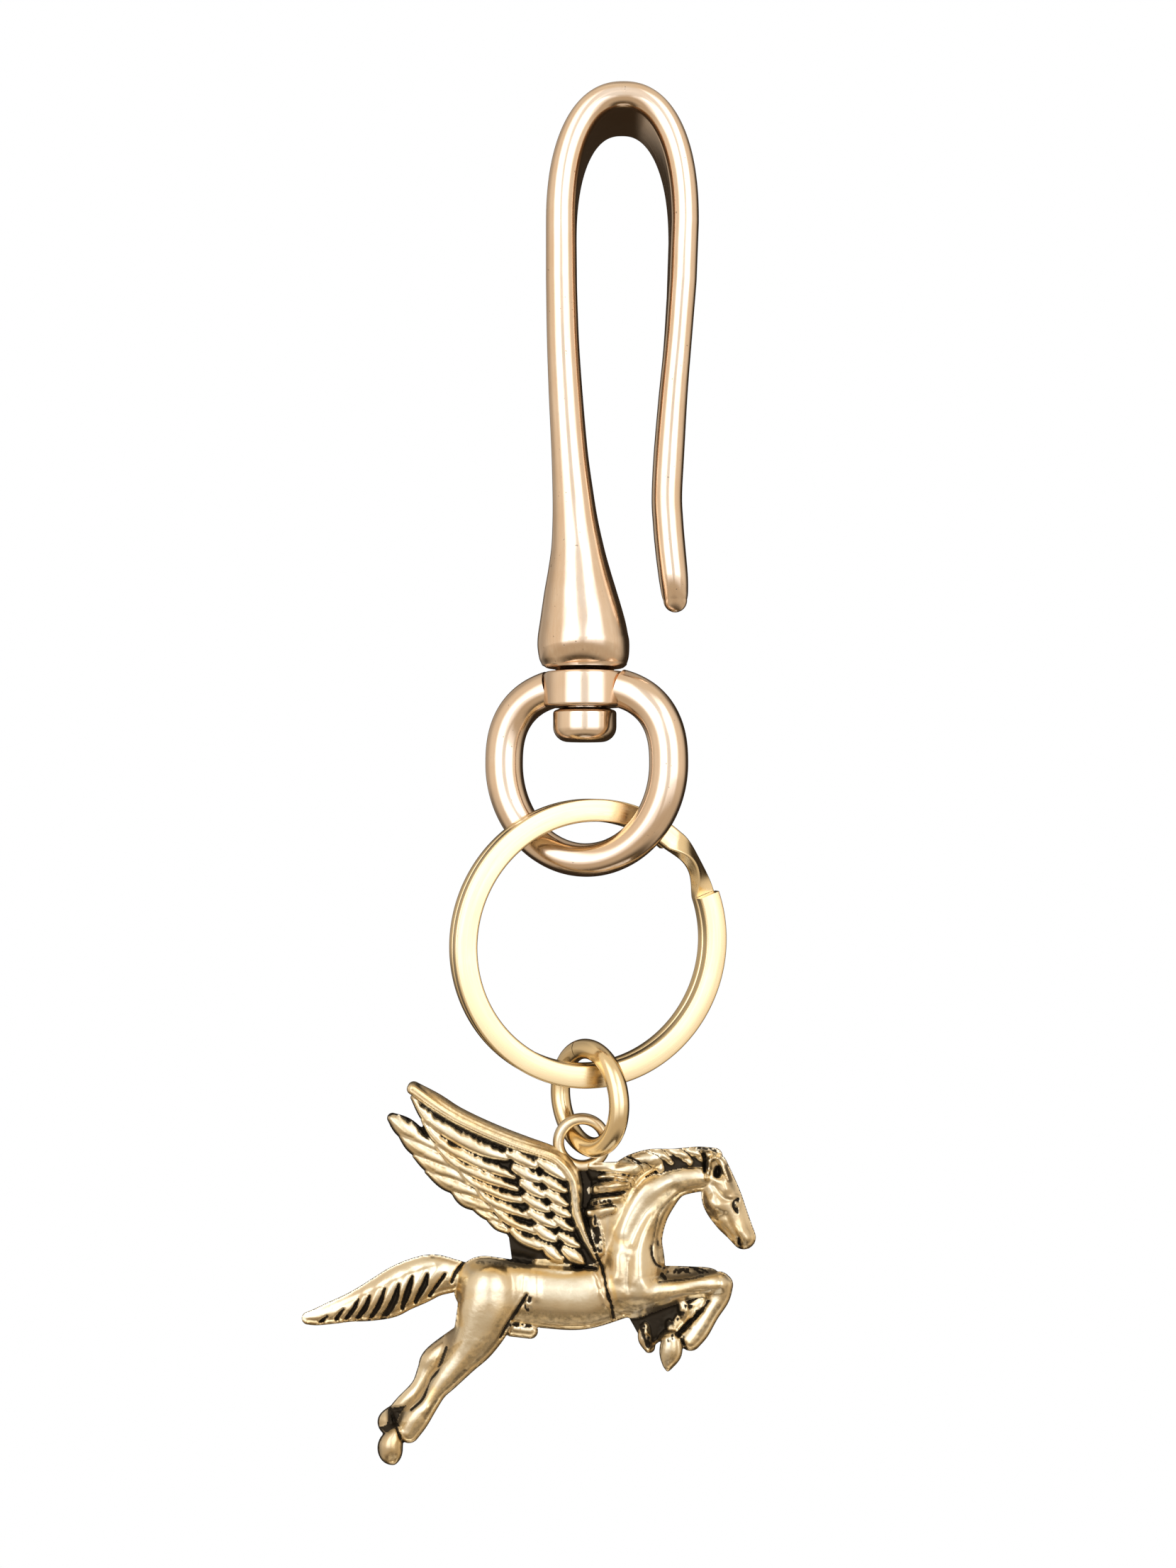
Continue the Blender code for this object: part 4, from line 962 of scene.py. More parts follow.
limb(FAR_FORE_HOOF, 4, 1.0, edge=0.6, ragged=2.0)
limb(UNDER_BELLY, 6, 0.9, edge=0.5)
for rows in FORELEG_CRUMBS:
    limb(rows, 12, 0.7, ragged=1.5, edge=0.7, sides=FRONT)

# Wings: their shared ground and leading edge, then feathers from the lowest row up, then the
# rib over their roots
BACKING_STAND = 5.4
BACKING_WIDTH = 1.1
PRIMARIES = [
    [(722, 1735, 5), (738, 1747, 8.5), (760, 1756, 8.5)],
    [(695, 1702, 3.5), (713, 1718, 6.5), (733, 1728, 7), (755, 1737, 5.5)],
    [(670, 1673, 2), (690, 1692, 6.5), (715, 1704, 7), (746, 1715, 5.5)],
    [(646, 1649, 2), (667, 1667, 6.5), (690, 1678, 7), (715, 1688, 7), (735, 1693, 5.5)],
    [(615, 1615, 2), (637, 1636, 7), (663, 1650, 8.5), (693, 1663, 8.5), (729, 1676, 5.5)],
    [(596, 1580, 2), (612, 1600, 7), (633, 1618, 8.5), (663, 1634, 9), (693, 1647, 8.5),
     (725, 1659, 5.5)],
    [(583, 1548, 3.5), (602, 1574, 8.5), (627, 1592, 11), (657, 1609, 12), (687, 1623, 11),
     (714, 1632, 6.5)],
]
FAR_PRIMARIES = [
    [(690, 1720, 3.5), (703, 1728, 7), (716, 1734, 6)],
    [(667, 1702, 3.5), (685, 1712, 7), (705, 1720, 6)],
    [(641, 1681, 4.5), (660, 1693, 10.5), (695, 1704, 7)],
    [(604, 1652, 4.5), (633, 1668, 11.5), (672, 1682, 8), (715, 1705, 4.5)],
    [(587, 1630, 4.5), (612, 1645, 11.5), (645, 1657, 9), (685, 1680, 4.5)],
    [(569, 1602, 6), (590, 1618, 12.5), (628, 1637, 9), (668, 1658, 4.5)],
    [(554, 1577, 7), (573, 1592, 14), (600, 1609, 9), (625, 1622, 6)],
]
COVERTS = [
    [(797, 1762, 7), (809, 1771, 10), (822, 1779, 5.5)],
    [(769, 1757, 7), (779, 1766, 10), (791, 1775, 5.5)],
    [(757, 1731, 7), (769, 1740, 9.5), (783, 1748, 5.5)],
    [(748, 1709, 7), (763, 1718, 9.5), (782, 1728, 5.5)],
    [(741, 1688, 7), (756, 1697, 10), (773, 1706, 5.5)],
    [(738, 1668, 7), (752, 1677, 9.5), (767, 1686, 5.5)],
    [(727, 1647, 7), (744, 1656, 9.5), (761, 1664, 5.5)],
    [(716, 1626, 5.5), (735, 1634, 9.5), (754, 1643, 7)],
    [(790, 1741, 5.5), (803, 1749, 9), (817, 1757, 4)],
    [(784, 1719, 5.5), (796, 1727, 8), (808, 1734, 4)],
    [(778, 1701, 5.5), (790, 1708, 8), (803, 1715, 4)],
    [(771, 1682, 5.5), (785, 1690, 9), (799, 1699, 4)],
    [(765, 1661, 5.5), (780, 1670, 9), (797, 1680, 4)],
    [(759, 1636, 5.5), (775, 1646, 10), (796, 1661, 5.5)],
]
RIB = [(582, 1536, 8), (612, 1558, 8), (640, 1576, 7.5), (672, 1592, 7.5), (707, 1607, 7.5),
       (740, 1619, 7), (777, 1631, 7), (793, 1643, 7), (803, 1656, 7), (809, 1670, 7),
       (811, 1685, 7), (812, 1700, 7), (815, 1717, 7), (823, 1735, 7), (832, 1753, 7),
       (842, 1771, 6)]
RIB_BACK = [(584, 1534, 9), (615, 1553, 11.5), (643, 1571, 11.5), (675, 1587, 11.5),
            (710, 1602, 11.5), (743, 1614, 11), (781, 1627, 10), (799, 1640, 9), (811, 1655, 10),
            (816, 1672, 10), (818, 1690, 10), (819, 1705, 9), (823, 1722, 8), (829, 1738, 7)]
WING_GROUND = [(588, 1548), (640, 1578), (707, 1607), (781, 1634), (806, 1662), (814, 1700),
               (826, 1745), (842, 1786), (800, 1800), (735, 1800), (722, 1775), (718, 1745),
               (690, 1705), (652, 1664), (620, 1623), (598, 1584)]
FAR_WING_GROUND = [(560, 1582), (600, 1590), (700, 1690), (722, 1745), (690, 1724), (641, 1688),
                   (610, 1660), (592, 1634)]
web(FAR_WING_GROUND, 4)
web(WING_GROUND, 9)
# Painted shade: the rib's back, seen from above, is darkened and made yellower
limb(RIB_BACK, 0, 1.6, slope=2, dark=0.32)
tint(RIB_BACK, 0.8)
for feathers, stand in ((FAR_PRIMARIES, -BACKING_STAND), (PRIMARIES, BACKING_STAND)):
    for rows in feathers:
        limb([(x, y, half * BACKING_WIDTH) for x, y, half in rows], stand, 0.3, dark=1.0)
for feathers, stand, rise, sides in ((FAR_PRIMARIES, 6, 8, FRONT), (PRIMARIES, -6, 8, BACK),
                                     (PRIMARIES, 12, 8, FRONT), (FAR_PRIMARIES, -12, 8, BACK),
                                     (COVERTS, 14, 7, FRONT), (COVERTS, -14, 7, BACK)):
    for rows in feathers:
        feather(rows, stand, rise, sides)
twin(RIB, 15, fullness=1.0, slope=2, edge=0.6)

# Tail: its locks, root and upper line
TAIL_MARKS = [
    # Grooves between the locks
    (press, [(628, 1797, 3), (618, 1811, 3), (606, 1827, 3)], 7, 1.0, 0.7, 3.0),
    (press, [(603, 1797, 2), (599, 1812, 6), (586, 1836, 3)], 7, 1.0, 0.7, 3.0),
    (press, [(582, 1800, 2), (576, 1820, 6), (568, 1844, 4)], 7, 1.0, 0.7, 3.0),
    (press, [(563, 1811, 2), (557, 1833, 7), (541, 1859, 5)], 7, 1.0, 0.7, 3.0),
    (press, [(543, 1817, 2), (535, 1840, 5), (521, 1861, 3)], 7, 1.0, 0.7, 3.0),
    (press, [(522, 1827, 2), (516, 1844, 5), (502, 1861, 3)], 7, 1.0, 0.7, 3.0),
    (press, [(506, 1832, 2), (498, 1848, 4), (486, 1862, 3)], 7, 1.0, 0.7, 3.0),
    (press, [(485, 1846, 2), (475, 1859, 4)], 7, 1.0, 0.7, 3.0),
    (press, [(462, 1857, 2), (451, 1865, 3)], 7, 1.0, 0.7, 3.0),
    # Locks
    (swell, [(618, 1790, 9), (604, 1810, 7), (594, 1834, 4)], 2.2),
    (swell, [(597, 1792, 8), (588, 1812, 7), (578, 1838, 4)], 2.2),
    (swell, [(576, 1798, 8), (567, 1818, 6), (556, 1848, 4)], 2.2),
    (swell, [(556, 1808, 8), (547, 1826, 6), (533, 1856, 4)], 2.2),
    (swell, [(533, 1818, 7), (526, 1836, 5), (512, 1858, 4)], 2.2),
    (swell, [(513, 1828, 6), (507, 1842, 5), (494, 1858, 4)], 2.2),
    # Upper line and root
    (press, [(611, 1783, 3), (570, 1797, 3), (520, 1822, 3), (470, 1845, 3)], 1.2, 0.25),
    (press, [(655, 1779, 3), (643, 1795, 4), (637, 1808, 3)], 5, 0.9, 1.0),
    (pit, [(633, 1803, 9), (640, 1815, 7)], 1.4),
]
draw(TAIL_MARKS)

# Mane: a dark ground with its strands over it
MANE_MARKS = [
    # Crest
    (web, [(925, 1636), (955, 1628), (1000, 1628), (1002, 1656), (960, 1652), (925, 1662)], 8),
    (press, [(926, 1640, 11), (945, 1637, 10), (965, 1634, 10), (985, 1634, 10), (995, 1645, 6)], 3),
    (lock, [(898, 1632, 9), (912, 1630, 11), (926, 1640, 9), (932, 1650, 6)], 6, 0.9, 1.2),
    (lock, [(911, 1619, 4), (931, 1626, 6), (947, 1640, 4)], 6, 0.9, 1.2),
    (lock, [(937, 1618, 4), (957, 1625, 7), (973, 1639, 5)], 6, 0.9, 1.2),
    (lock, [(963, 1616, 4), (978, 1625, 6), (992, 1636, 4)], 6, 0.9, 1.2),
    (lock, [(983, 1618, 4), (1003, 1620, 6), (1018, 1626, 5), (1024, 1640, 4)], 6, 0.9, 1.2),
    (pit, [(985, 1619, 4), (1004, 1621, 5), (1020, 1628, 4)], 1.6, 0.7),
    # Hollow behind the rib, and the lower mane's grooves
    (press, [(884, 1631, 2), (894, 1635, 2.5), (904, 1641, 2)], 3, 0.9, 0.6),
    (press, [(822, 1652, 7), (827, 1668, 10), (828, 1684, 10), (824, 1700, 6)], 18),
    (press, [(822, 1706, 4), (826, 1722, 5), (831, 1742, 4), (840, 1764, 3)], 10, 1.0, 0.8),
    (press, [(846, 1655, 3), (860, 1654, 3.5), (886, 1658, 2.5)], 4, 0.9, 0.8),
    (press, [(830, 1666, 4), (845, 1665, 5), (862, 1663, 4), (882, 1667, 2.5)], 4, 0.9, 0.8),
    (press, [(826, 1690, 5), (846, 1686, 5), (868, 1684, 4), (880, 1681, 3)], 4, 1.0, 0.8),
    (press, [(826, 1703, 5), (845, 1702, 4), (862, 1699, 3)], 4, 0.9, 0.8),
    # Lower mane
    (lock, [(832, 1643, 5), (850, 1644, 9), (872, 1645, 11), (898, 1650, 9)], 5, 0.7, 1.6),
    (lock, [(846, 1660, 3), (862, 1659, 5), (884, 1662, 4)], 5, 0.7, 1.6),
    (lock, [(846, 1672, 5), (866, 1671, 6), (890, 1668, 6)], 5, 0.7, 1.6),
    (lock, [(833, 1679, 6), (852, 1676, 7), (884, 1672, 6)], 5, 0.7, 1.6),
    (lock, [(838, 1696, 5), (852, 1693, 6), (875, 1690, 5)], 5, 0.7, 1.6),
    (lock, [(831, 1711, 6), (846, 1709, 8), (864, 1706, 6)], 5, 0.7, 1.6),
    (lock, [(838, 1722, 7), (842, 1742, 9), (847, 1764, 7)], 5, 0.7, 1.6),
    (pit, [(836, 1716, 7), (842, 1740, 9), (846, 1762, 7)], 2.2, 1.0),
    (pit, [(838, 1697, 5), (858, 1694, 5), (868, 1704, 5)], 1.6, 0.9),
    # Line between mane and neck
    (press, [(931, 1651, 2), (951, 1644, 2), (974, 1641, 2), (988, 1647, 2)], 1.2, 0.35),
    (press, [(933, 1656, 2), (952, 1649, 2), (974, 1646, 2), (986, 1652, 2)], 1.0, 0.25),
    (press, [(936, 1653, 2), (955, 1646, 2), (974, 1643, 2), (986, 1649, 2)], -1.0, 0.0),
]
draw(MANE_MARKS)

# Neck, breast and foreleg
NECK_MARKS = [
    # Muscles of the neck and breast
    (swell, [(893, 1818, 40), (905, 1822, 38)], 7),
    (swell, [(905, 1700, 34), (898, 1730, 34)], -4),
    (swell, [(905, 1668, 18), (888, 1700, 18), (876, 1736, 16)], 5),
    (swell, [(950, 1676, 12), (925, 1694, 14), (905, 1722, 14), (891, 1752, 12)], -5),
    (swell, [(920, 1718, 12), (907, 1742, 12), (902, 1771, 13), (905, 1806, 15)], 5),
    (swell, [(869, 1772, 12), (868, 1800, 13)], 4.5),
    (swell, [(886, 1775, 10), (884, 1812, 11)], -3),
    # Yellow beside the rib
    (tint, [(864, 1728, 5), (866, 1740, 6), (872, 1750, 6), (887, 1752, 5)], 0.8),
    (tint, [(862, 1800, 4), (868, 1830, 5), (878, 1847, 4)]),
    # Crease from the cheek down the neck's front
    (press, [(983, 1684, 2.5), (967, 1680, 2.5), (951, 1687, 2.5), (938, 1700, 2.5), (929, 1713, 2.5),
             (925, 1729, 2.5), (921, 1751, 3), (918, 1761, 3)], 1.6, 0.5),
    (press, [(978, 1687, 2.2), (964, 1685, 2.2), (952, 1692, 2.2), (941, 1704, 2.2), (933, 1717, 2.2),
             (929, 1732, 2.2)], -1.5, 0.0),
    (press, [(919, 1758, 3), (920, 1771, 3), (926, 1783, 3), (937, 1788, 3)], 2.5, 0.7),
    (tint, [(978, 1687, 3), (952, 1692, 3), (933, 1717, 3), (929, 1732, 3)], 0.7),
    (pit, [(928, 1752, 7), (934, 1768, 9), (942, 1784, 8)], 1.0),
    # Shoulder and the breast's foot
    (press, [(841, 1770, 4), (848, 1784, 3.5), (852, 1800, 3), (856, 1820, 3), (862, 1840, 3),
             (866, 1860, 3)], 5.5, 0.9, 1.4),
    (press, [(836, 1790, 3), (844, 1806, 4), (848, 1824, 4), (855, 1844, 3)], -3, 0.0, 2.0),
    (press, [(873, 1853, 2.5), (888, 1859, 2.5), (907, 1856, 2.5), (927, 1846, 2.5),
             (946, 1836, 2.5)], -2.5, 0.0),
    (press, [(868, 1846, 2.5), (880, 1852, 2.5), (905, 1850, 2.5), (925, 1841, 2.5),
             (944, 1832, 2.5)], 1.5, 0.3),
    # Forearm, knee and cannon
    (press, [(930, 1808, 2.5), (945, 1806, 2.5), (970, 1804, 2.5), (992, 1799, 2.5)], 2, 0.6, 1.0),
    (pit, [(944, 1794, 6), (965, 1792, 8), (990, 1793, 7)], 2.0, 0.8),
    (press, [(934, 1797, 4), (938, 1803, 4)], 5, 1.0, 1.5),
    (press, [(973, 1787, 2.5), (990, 1790, 2.5), (999, 1795, 2)], 3, 0.9, 1.0),
    (swell, [(1018, 1812, 14), (1019, 1814, 14)], 4),
    (tint, [(935, 1813, 4), (975, 1806, 4), (1010, 1798, 5)]),
    (press, [(1000, 1834, 3), (985, 1853, 4), (968, 1869, 4), (956, 1883, 3)], 5, 1.0, 2.4),
    (press, [(957, 1884, 2.5), (964, 1894, 3), (968, 1907, 2)], 6, 1.0, 0.8),
    # Rough skin between the forelegs
    (pit, [(905, 1868, 8), (912, 1885, 9), (914, 1898, 5)], 3.0, 1.0),
    (pit, [(935, 1868, 10), (955, 1855, 12), (972, 1842, 8)], 2.6, 1.0),
    (pit, [(940, 1890, 6), (958, 1880, 6), (975, 1872, 5)], 2.0, 0.9),
]
draw(NECK_MARKS)

# Barrel and hind legs
BARREL_MARKS = [
    # Hollows where the wing leaves the back
    (press, [(706, 1768, 6), (725, 1772, 10), (750, 1776, 9)], 7, 1.0, 2.0, 3.0),
    (press, [(808, 1786, 4), (840, 1788, 4)], 7, 1.0, 2.0, 3.0),
    (lock, [(757, 1783, 8), (780, 1784, 9), (803, 1790, 7)], 2.5, 0.3, 2.5),
    # Yellow along the back
    (tint, [(668, 1786, 9), (705, 1790, 10), (746, 1792, 8), (790, 1800, 5), (832, 1794, 7)]),
    (pit, [(672, 1780, 5), (700, 1782, 6), (735, 1788, 5)], 0.8, 0.5),
    # Flank and the thigh's front line
    (swell, [(757, 1798, 8), (757, 1830, 8)], 2),
    (swell, [(738, 1806, 8), (736, 1835, 8)], -3),
    (press, [(743, 1826, 3), (729, 1848, 4), (715, 1870, 4), (706, 1886, 3)], 5, 0.8),
    (press, [(737, 1828, 2.5), (722, 1851, 2.5), (708, 1873, 2.5), (698, 1892, 2)], -1.5, 0.0),
    (pit, [(746, 1830, 7), (743, 1850, 7)], 2.2, 0.9),
    (pit, [(770, 1858, 4), (800, 1862, 5), (835, 1860, 4)], 0.5, 0.0),
    # Belly's edge
    (press, [(728, 1860, 3), (750, 1865, 3), (796, 1872, 3), (830, 1872, 3), (858, 1868, 3),
             (882, 1862, 3)], -2.5, 0.0, 0.5),
    (pit, [(716, 1869, 4), (735, 1869, 5), (750, 1871, 3)], 3.0, 1.0),
    # Croup and hind leg
    (press, [(651, 1785, 2.5), (645, 1812, 2.5), (647, 1845, 2.5), (648, 1868, 2.5),
             (640, 1892, 2.5)], 1.5, 0.35),
    (tint, [(650, 1785, 6), (646, 1826, 6), (650, 1868, 6)]),
    (tint, [(613, 1960, 8), (606, 1975, 7)]),
    (pit, [(665, 1900, 14), (690, 1885, 10)], 0.5, 0.35),
    # Lines on the far leg and at the hooves
    (press, [(630, 1900, 3), (618, 1932, 3), (606, 1948, 3), (597, 1972, 3), (580, 1988, 3)], 4, 0.9),
    (press, [(551, 1986, 2.5), (558, 2008, 2.5), (566, 2030, 3), (577, 2041, 2.5)], 6, 1.0, 0.6),
    (press, [(556, 2008, 2.5), (549, 2015, 2.5), (538, 2019, 2.5)], 3, 0.9, 0.4),
    # Painted shade on the undersides and the neck's side, darker and yellower where they turn from
    # the light
    (tint, [(640, 1985, 10), (622, 1972, 12), (640, 1945, 9)], 0.9),
    (press, [(656, 1935, 8), (638, 1955, 9), (620, 1974, 9), (602, 1998, 8)], 0.8, 0.5),
    (press, [(604, 2006, 7), (592, 2022, 8), (578, 2036, 6)], 0.6, 0.42),
    (press, [(1013, 1842, 7), (1002, 1862, 8), (987, 1882, 6)], 0.6, 0.44),
    (press, [(872, 1836, 7), (890, 1844, 8), (920, 1838, 7)], 0.6, 0.42),
    (press, [(714, 1878, 7), (694, 1902, 9), (670, 1926, 9)], 0.6, 0.42),
    (press, [(948, 1700, 6), (936, 1720, 7), (926, 1752, 6)], 0.5, 0.4),
    (swell, [(602, 1986, 7), (600, 1990, 7)], 2),
]
draw(BARREL_MARKS)

# Head
HEAD_MARKS = [
    # Ear
    (press, [(992, 1628, 4), (995, 1642, 5), (994, 1652, 3)], 7, 1.0, 0.8),
    (press, [(1011, 1642, 10), (1012, 1654, 11)], 6, 0.0),
    (lock, [(997, 1663, 2.5), (999, 1648, 3.5), (1001, 1636, 3.5), (1010, 1632, 3.5), (1017, 1639, 4),
            (1023, 1652, 4), (1028, 1664, 3)], 8, 0.45),
    (press, [(1013, 1646, 3), (1012, 1652, 7), (1011, 1656, 7)], 8, 1.0, 0.0, 3.0),
    # Brow
    (swell, [(1022, 1668, 11), (1025, 1676, 11)], 6),
    (swell, [(1008, 1663, 5), (1012, 1666, 5)], 2),
    (press, [(1006, 1672, 5), (1020, 1690, 6), (1032, 1692, 4)], 3, 0.3),
    (pit, [(996, 1674, 7), (1006, 1684, 7), (1018, 1692, 6)], 0.8, 0.35),
    # Cheek
    (swell, [(1003, 1697, 16), (1009, 1701, 16)], 9),
    (swell, [(1000, 1714, 8), (1018, 1714, 7)], -3),
    (press, [(984, 1684, 2.5), (988, 1704, 2.5), (997, 1714, 2.5), (1012, 1720, 2.5)], 1.6, 0.5),
    (press, [(989, 1684, 2.2), (992, 1700, 2.2), (1000, 1710, 2.2), (1014, 1715, 2.2)], -1.0, 0.0),
    (tint, [(984, 1686, 4), (988, 1704, 4), (1000, 1716, 4), (1018, 1724, 4)]),
    (tint, [(1014, 1724, 3), (1027, 1744, 3), (1036, 1760, 3)], 0.8),
    # Eye
    (press, [(1041, 1691, 3), (1036, 1698, 5), (1038, 1706, 4), (1040, 1710, 2)], 5, 1.0, 0.0, 4.0),
    (lock, [(1038, 1696, 2.2), (1038, 1701, 2.2)], 4, 0.2),
    (press, [(1030, 1689, 2.5), (1038, 1686, 2.5), (1045, 1691, 2)], -2, 0.0),
    (press, [(1044, 1692, 2), (1043, 1701, 2), (1041, 1710, 2)], -1.5, 0.0),
    # Muzzle, nostril and mouth
    (swell, [(1046, 1738, 15), (1054, 1748, 15)], 7),
    (press, [(1024, 1712, 5), (1031, 1728, 6), (1041, 1745, 4)], 2.5, 0.3),
    (pit, [(1022, 1714, 4), (1028, 1726, 4)], 0.8, 0.3),
    (press, [(1014, 1724, 2.2), (1025, 1740, 2.2), (1033, 1758, 2.2)], -2, 0.0),
    (press, [(1042, 1746, 2), (1043, 1754, 3), (1044, 1763, 4)], 8, 1.0, 0.0, 3.0),
    (press, [(1037, 1750, 2.5), (1038, 1760, 2.5)], -2, 0.0),
    (press, [(1049, 1755, 2.5), (1058, 1757, 2.5)], -1.5, 0.0),
]
draw(HEAD_MARKS)

# Painted shade on the rib, breast and neck
PAINTED_SHADE_MARKS = [
    (press, [(806, 1668, 6), (812, 1692, 6), (820, 1722, 5)], 0.4, 0.42),
    (press, [(885, 1780, 5), (884, 1800, 6), (886, 1822, 6)], 1.2, 0.35),
    (press, [(940, 1660, 9), (970, 1666, 8)], 0.5, 0.3),
]
draw(PAINTED_SHADE_MARKS)

# The whole casting: a bright lip along its lower edges, cleared of patina and painted shade,
# patina left in its hollows, painted shade as a darker, yellower band on its undersides, and the
# unevenness of its skin
LIP_HEIGHT, LIP_PLACE, LIP_WIDTH = 1.5, 3.2, 1.4
LIP_GROOVE, LIP_GROOVE_PLACE, LIP_GROOVE_WIDTH = 1.2, 7.0, 2.0
LIP_CLEARING = 0.7
HOLLOW_TURNS = 7
HOLLOW_FLOOR = -20
HOLLOW_START, HOLLOW_RANGE, HOLLOW_MARGIN = 0.8, 2.4, 3
UNDER_SHADE_EDGE, UNDER_SHADE_EDGE_WIDTH = 0.5, 12
UNDER_SHADE_BAND, UNDER_SHADE_PLACE, UNDER_SHADE_WIDTH = 0.38, 19, 9
UNDER_SHADE_YELLOW, UNDER_SHADE_DARK = 1.8, 0.9
LUMP_HEIGHT, CRUMB_HEIGHT = 0.5, 0.05


def ridge(place, width):
    """1 at a distance inside the outline, falling off softly on both sides of it."""
    return np.exp(-((edge_in - place) / width) ** 2)


soften(1)
slope_down, slope_across = np.gradient(edge_in, GRID)
below = np.clip(0.2 - slope_down - 0.4 * slope_across, 0, 1)  # 1 where the edge faces down
lip = ridge(LIP_PLACE, LIP_WIDTH) * below
heights += LIP_HEIGHT * lip - LIP_GROOVE * ridge(LIP_GROOVE_PLACE, LIP_GROOVE_WIDTH) * below
even = heights
for again in range(HOLLOW_TURNS):
    padded = np.pad(np.maximum(even, HOLLOW_FLOOR), ((0, 0), (1, 1), (1, 1)), mode="edge")
    even = (padded[:, 1:-1, 1:-1] * 2 + padded[:, :-2, 1:-1] + padded[:, 2:, 1:-1]
            + padded[:, 1:-1, :-2] + padded[:, 1:-1, 2:]) / 6
hollow = np.clip((even - heights - HOLLOW_START) / HOLLOW_RANGE, 0, 1)
hollow *= edge_in > HOLLOW_MARGIN
# Painted shade: the metal is darker and yellower along the lower edges, where the casting turns away
# from the light
underside_shade = (UNDER_SHADE_EDGE * ridge(0, UNDER_SHADE_EDGE_WIDTH)
        + (UNDER_SHADE_BAND + 0.1 * lump) * ridge(UNDER_SHADE_PLACE, UNDER_SHADE_WIDTH)) * below
yellow = np.maximum(yellow, underside_shade * UNDER_SHADE_YELLOW)
patina_and_shade = np.maximum(np.maximum(patina_and_shade, hollow), underside_shade * UNDER_SHADE_DARK)
# The lip is cleared of patina and of the painted shade
patina_and_shade = np.clip(patina_and_shade - LIP_CLEARING * lip, 0, 1)
heights += lump * LUMP_HEIGHT + crumb * CRUMB_HEIGHT


def casting():
    """Front and back surfaces on one grid, closed along the outline."""
    keep = edge_in > 0
    cells = keep[:-1, :-1] | keep[1:, :-1] | keep[:-1, 1:] | keep[1:, 1:]
    used = np.zeros_like(keep)
    for touched in (used[:-1, :-1], used[1:, :-1], used[:-1, 1:], used[1:, 1:]):
        touched |= cells
    rim = used & ~keep
    steepness = np.maximum(slope_across ** 2 + slope_down ** 2, 0.2)
    x, y = (at - np.where(rim, (edge_in * slope / steepness).clip(-GRID, GRID), 0)
            for at, slope in ((PX, slope_across), (PY, slope_down)))
    middle = (heights[0] - heights[1]) / 2
    front = np.where(rim, middle, np.maximum(heights[0], middle + THINNEST))
    back = np.where(rim, middle, np.minimum(-heights[1], middle - THINNEST))
    number = np.full(keep.shape, -1)
    number[used] = np.arange(used.sum())
    under = number + used.sum()
    under[rim] = number[rim]
    points = np.concatenate([np.stack([x[used], y[used], side[used]], 1) for side in (front, back)])
    rows, columns = np.nonzero(cells)
    corners = ((rows, columns), (rows + 1, columns), (rows + 1, columns + 1), (rows, columns + 1))
    faces = np.concatenate([np.stack([number[at] for at in corners], 1),
                            np.stack([under[at] for at in reversed(corners)], 1)])
    depth = -points[:, 2] * PIXEL
    spread = 1 + (CHARM_SET_BACK + depth) / VIEW_DISTANCE
    eye_spread = 1 + CHARM_SET_BACK / VIEW_DISTANCE
    place = np.stack([
        (points[:, 0] - VIEW_CENTRE[0]) * spread - (EYE_PIXEL[0] - VIEW_CENTRE[0]) * eye_spread,
        depth / PIXEL,
        (EYE_PIXEL[1] - VIEW_CENTRE[1]) * eye_spread - (points[:, 1] - VIEW_CENTRE[1]) * spread], 1)
    mesh = bpy.data.meshes.new("casting")
    mesh.from_pydata((place * PIXEL + (EYE_ACROSS, CHARM_SET_BACK, EYE_LEVEL)).tolist(), [],
                     faces.tolist())
    for kind, sides in (("patina_and_shade", patina_and_shade), ("yellow", (yellow, yellow))):
        layer = mesh.attributes.new(kind, "FLOAT", "POINT")
        values = np.concatenate([side[used] for side in sides])
        layer.data.foreach_set("value", values.astype(np.float32))
    face_outwards(mesh)
    return mesh


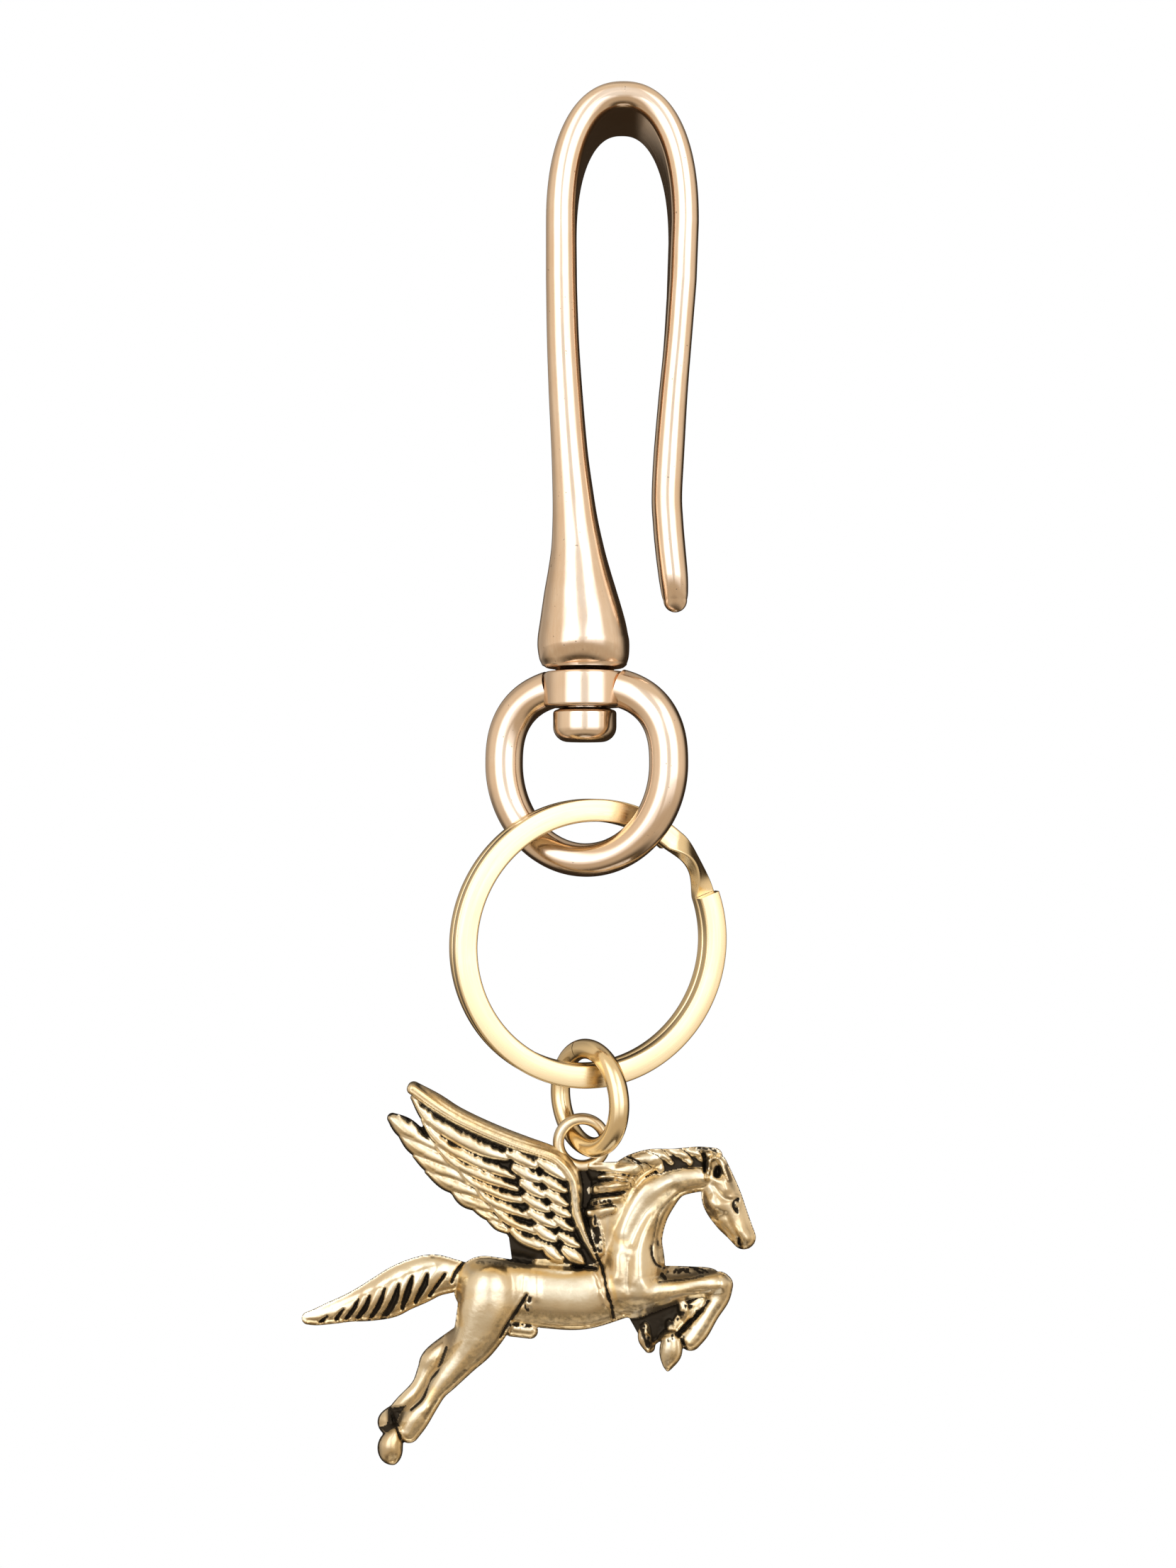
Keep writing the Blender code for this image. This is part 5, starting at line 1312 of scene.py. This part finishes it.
eye_bar = np.linspace(0, math.tau, EYE_BAR_SIDES, endpoint=False)
eye_reach = EYE_MIDDLE + np.cos(eye_bar) * EYE_BAR / 2
eye_rings = [np.stack([EYE_ACROSS + eye_reach * math.cos(angle),
                       CHARM_SET_BACK + np.sin(eye_bar) * EYE_BAR_DEPTH / 2,
                       EYE_LEVEL + eye_reach * math.sin(angle)], 1)
             for angle in np.linspace(0, math.tau, EYE_STEPS, endpoint=False)]

PALE_GOLD = (0.80, 0.69, 0.49, 1.0)
WARM_GOLD = (0.72, 0.57, 0.36, 1.0)
YELLOW_GOLD = (0.78, 0.55, 0.24, 1.0)
PATINA_AND_SHADE_BROWN = (0.040, 0.031, 0.021, 1.0)


def antique_brass():
    """Cast brass, dipped dark and rubbed: gold on its high places, brown where patina stays and where
    shade is painted on.
    """
    finish = bpy.data.materials.new("antique_brass")
    brass = new_tree(finish)
    place = brass.node("ShaderNodeTexCoord", output="Object")
    patina_and_shade_share = brass.node("ShaderNodeAttribute", {"attribute_name": "patina_and_shade"}, output="Fac")
    gilt = brass.node("ShaderNodeAttribute", {"attribute_name": "yellow"}, output="Fac")
    speckle = brass.node("ShaderNodeTexNoise", values={
        "Vector": place, "Scale": 2400.0, "Detail": 3.0})
    cloudy = brass.node("ShaderNodeTexNoise", values={
        "Vector": place, "Scale": 260.0, "Detail": 4.0})
    # Brown where the casting keeps patina and where shade is painted on its undersides, rib and
    # breast
    dark = (patina_and_shade_share + (speckle - 0.5) * 0.4).rise(0.22, 0.7)
    gold = cloudy.rise(0.42, 0.68).blend(PALE_GOLD, WARM_GOLD)
    gold = (gilt * (0.5 + cloudy * 0.6)).blend(gold, YELLOW_GOLD)
    face = brass.node("ShaderNodeBump", values={
        "Height": speckle * 0.5 + cloudy, "Strength": 0.35, "Distance": 0.1 * MM})
    shader = brass.node("ShaderNodeBsdfPrincipled", values={
        "Base Color": dark.blend(gold, PATINA_AND_SHADE_BROWN), "Metallic": 1.0,
        "Roughness": 0.24 + cloudy * 0.1 + dark * 0.3, "Normal": face})
    brass.node("ShaderNodeOutputMaterial", values={0: shader})
    return finish


piece("winged_horse_charm", joined(casting(), skin(eye_rings, closed=True)), antique_brass(),
      "charm", "winged_horse")


# Turns a box's corners into plain numbers.
def plain(box):
    return [[float(value) for value in corner] for corner in box]
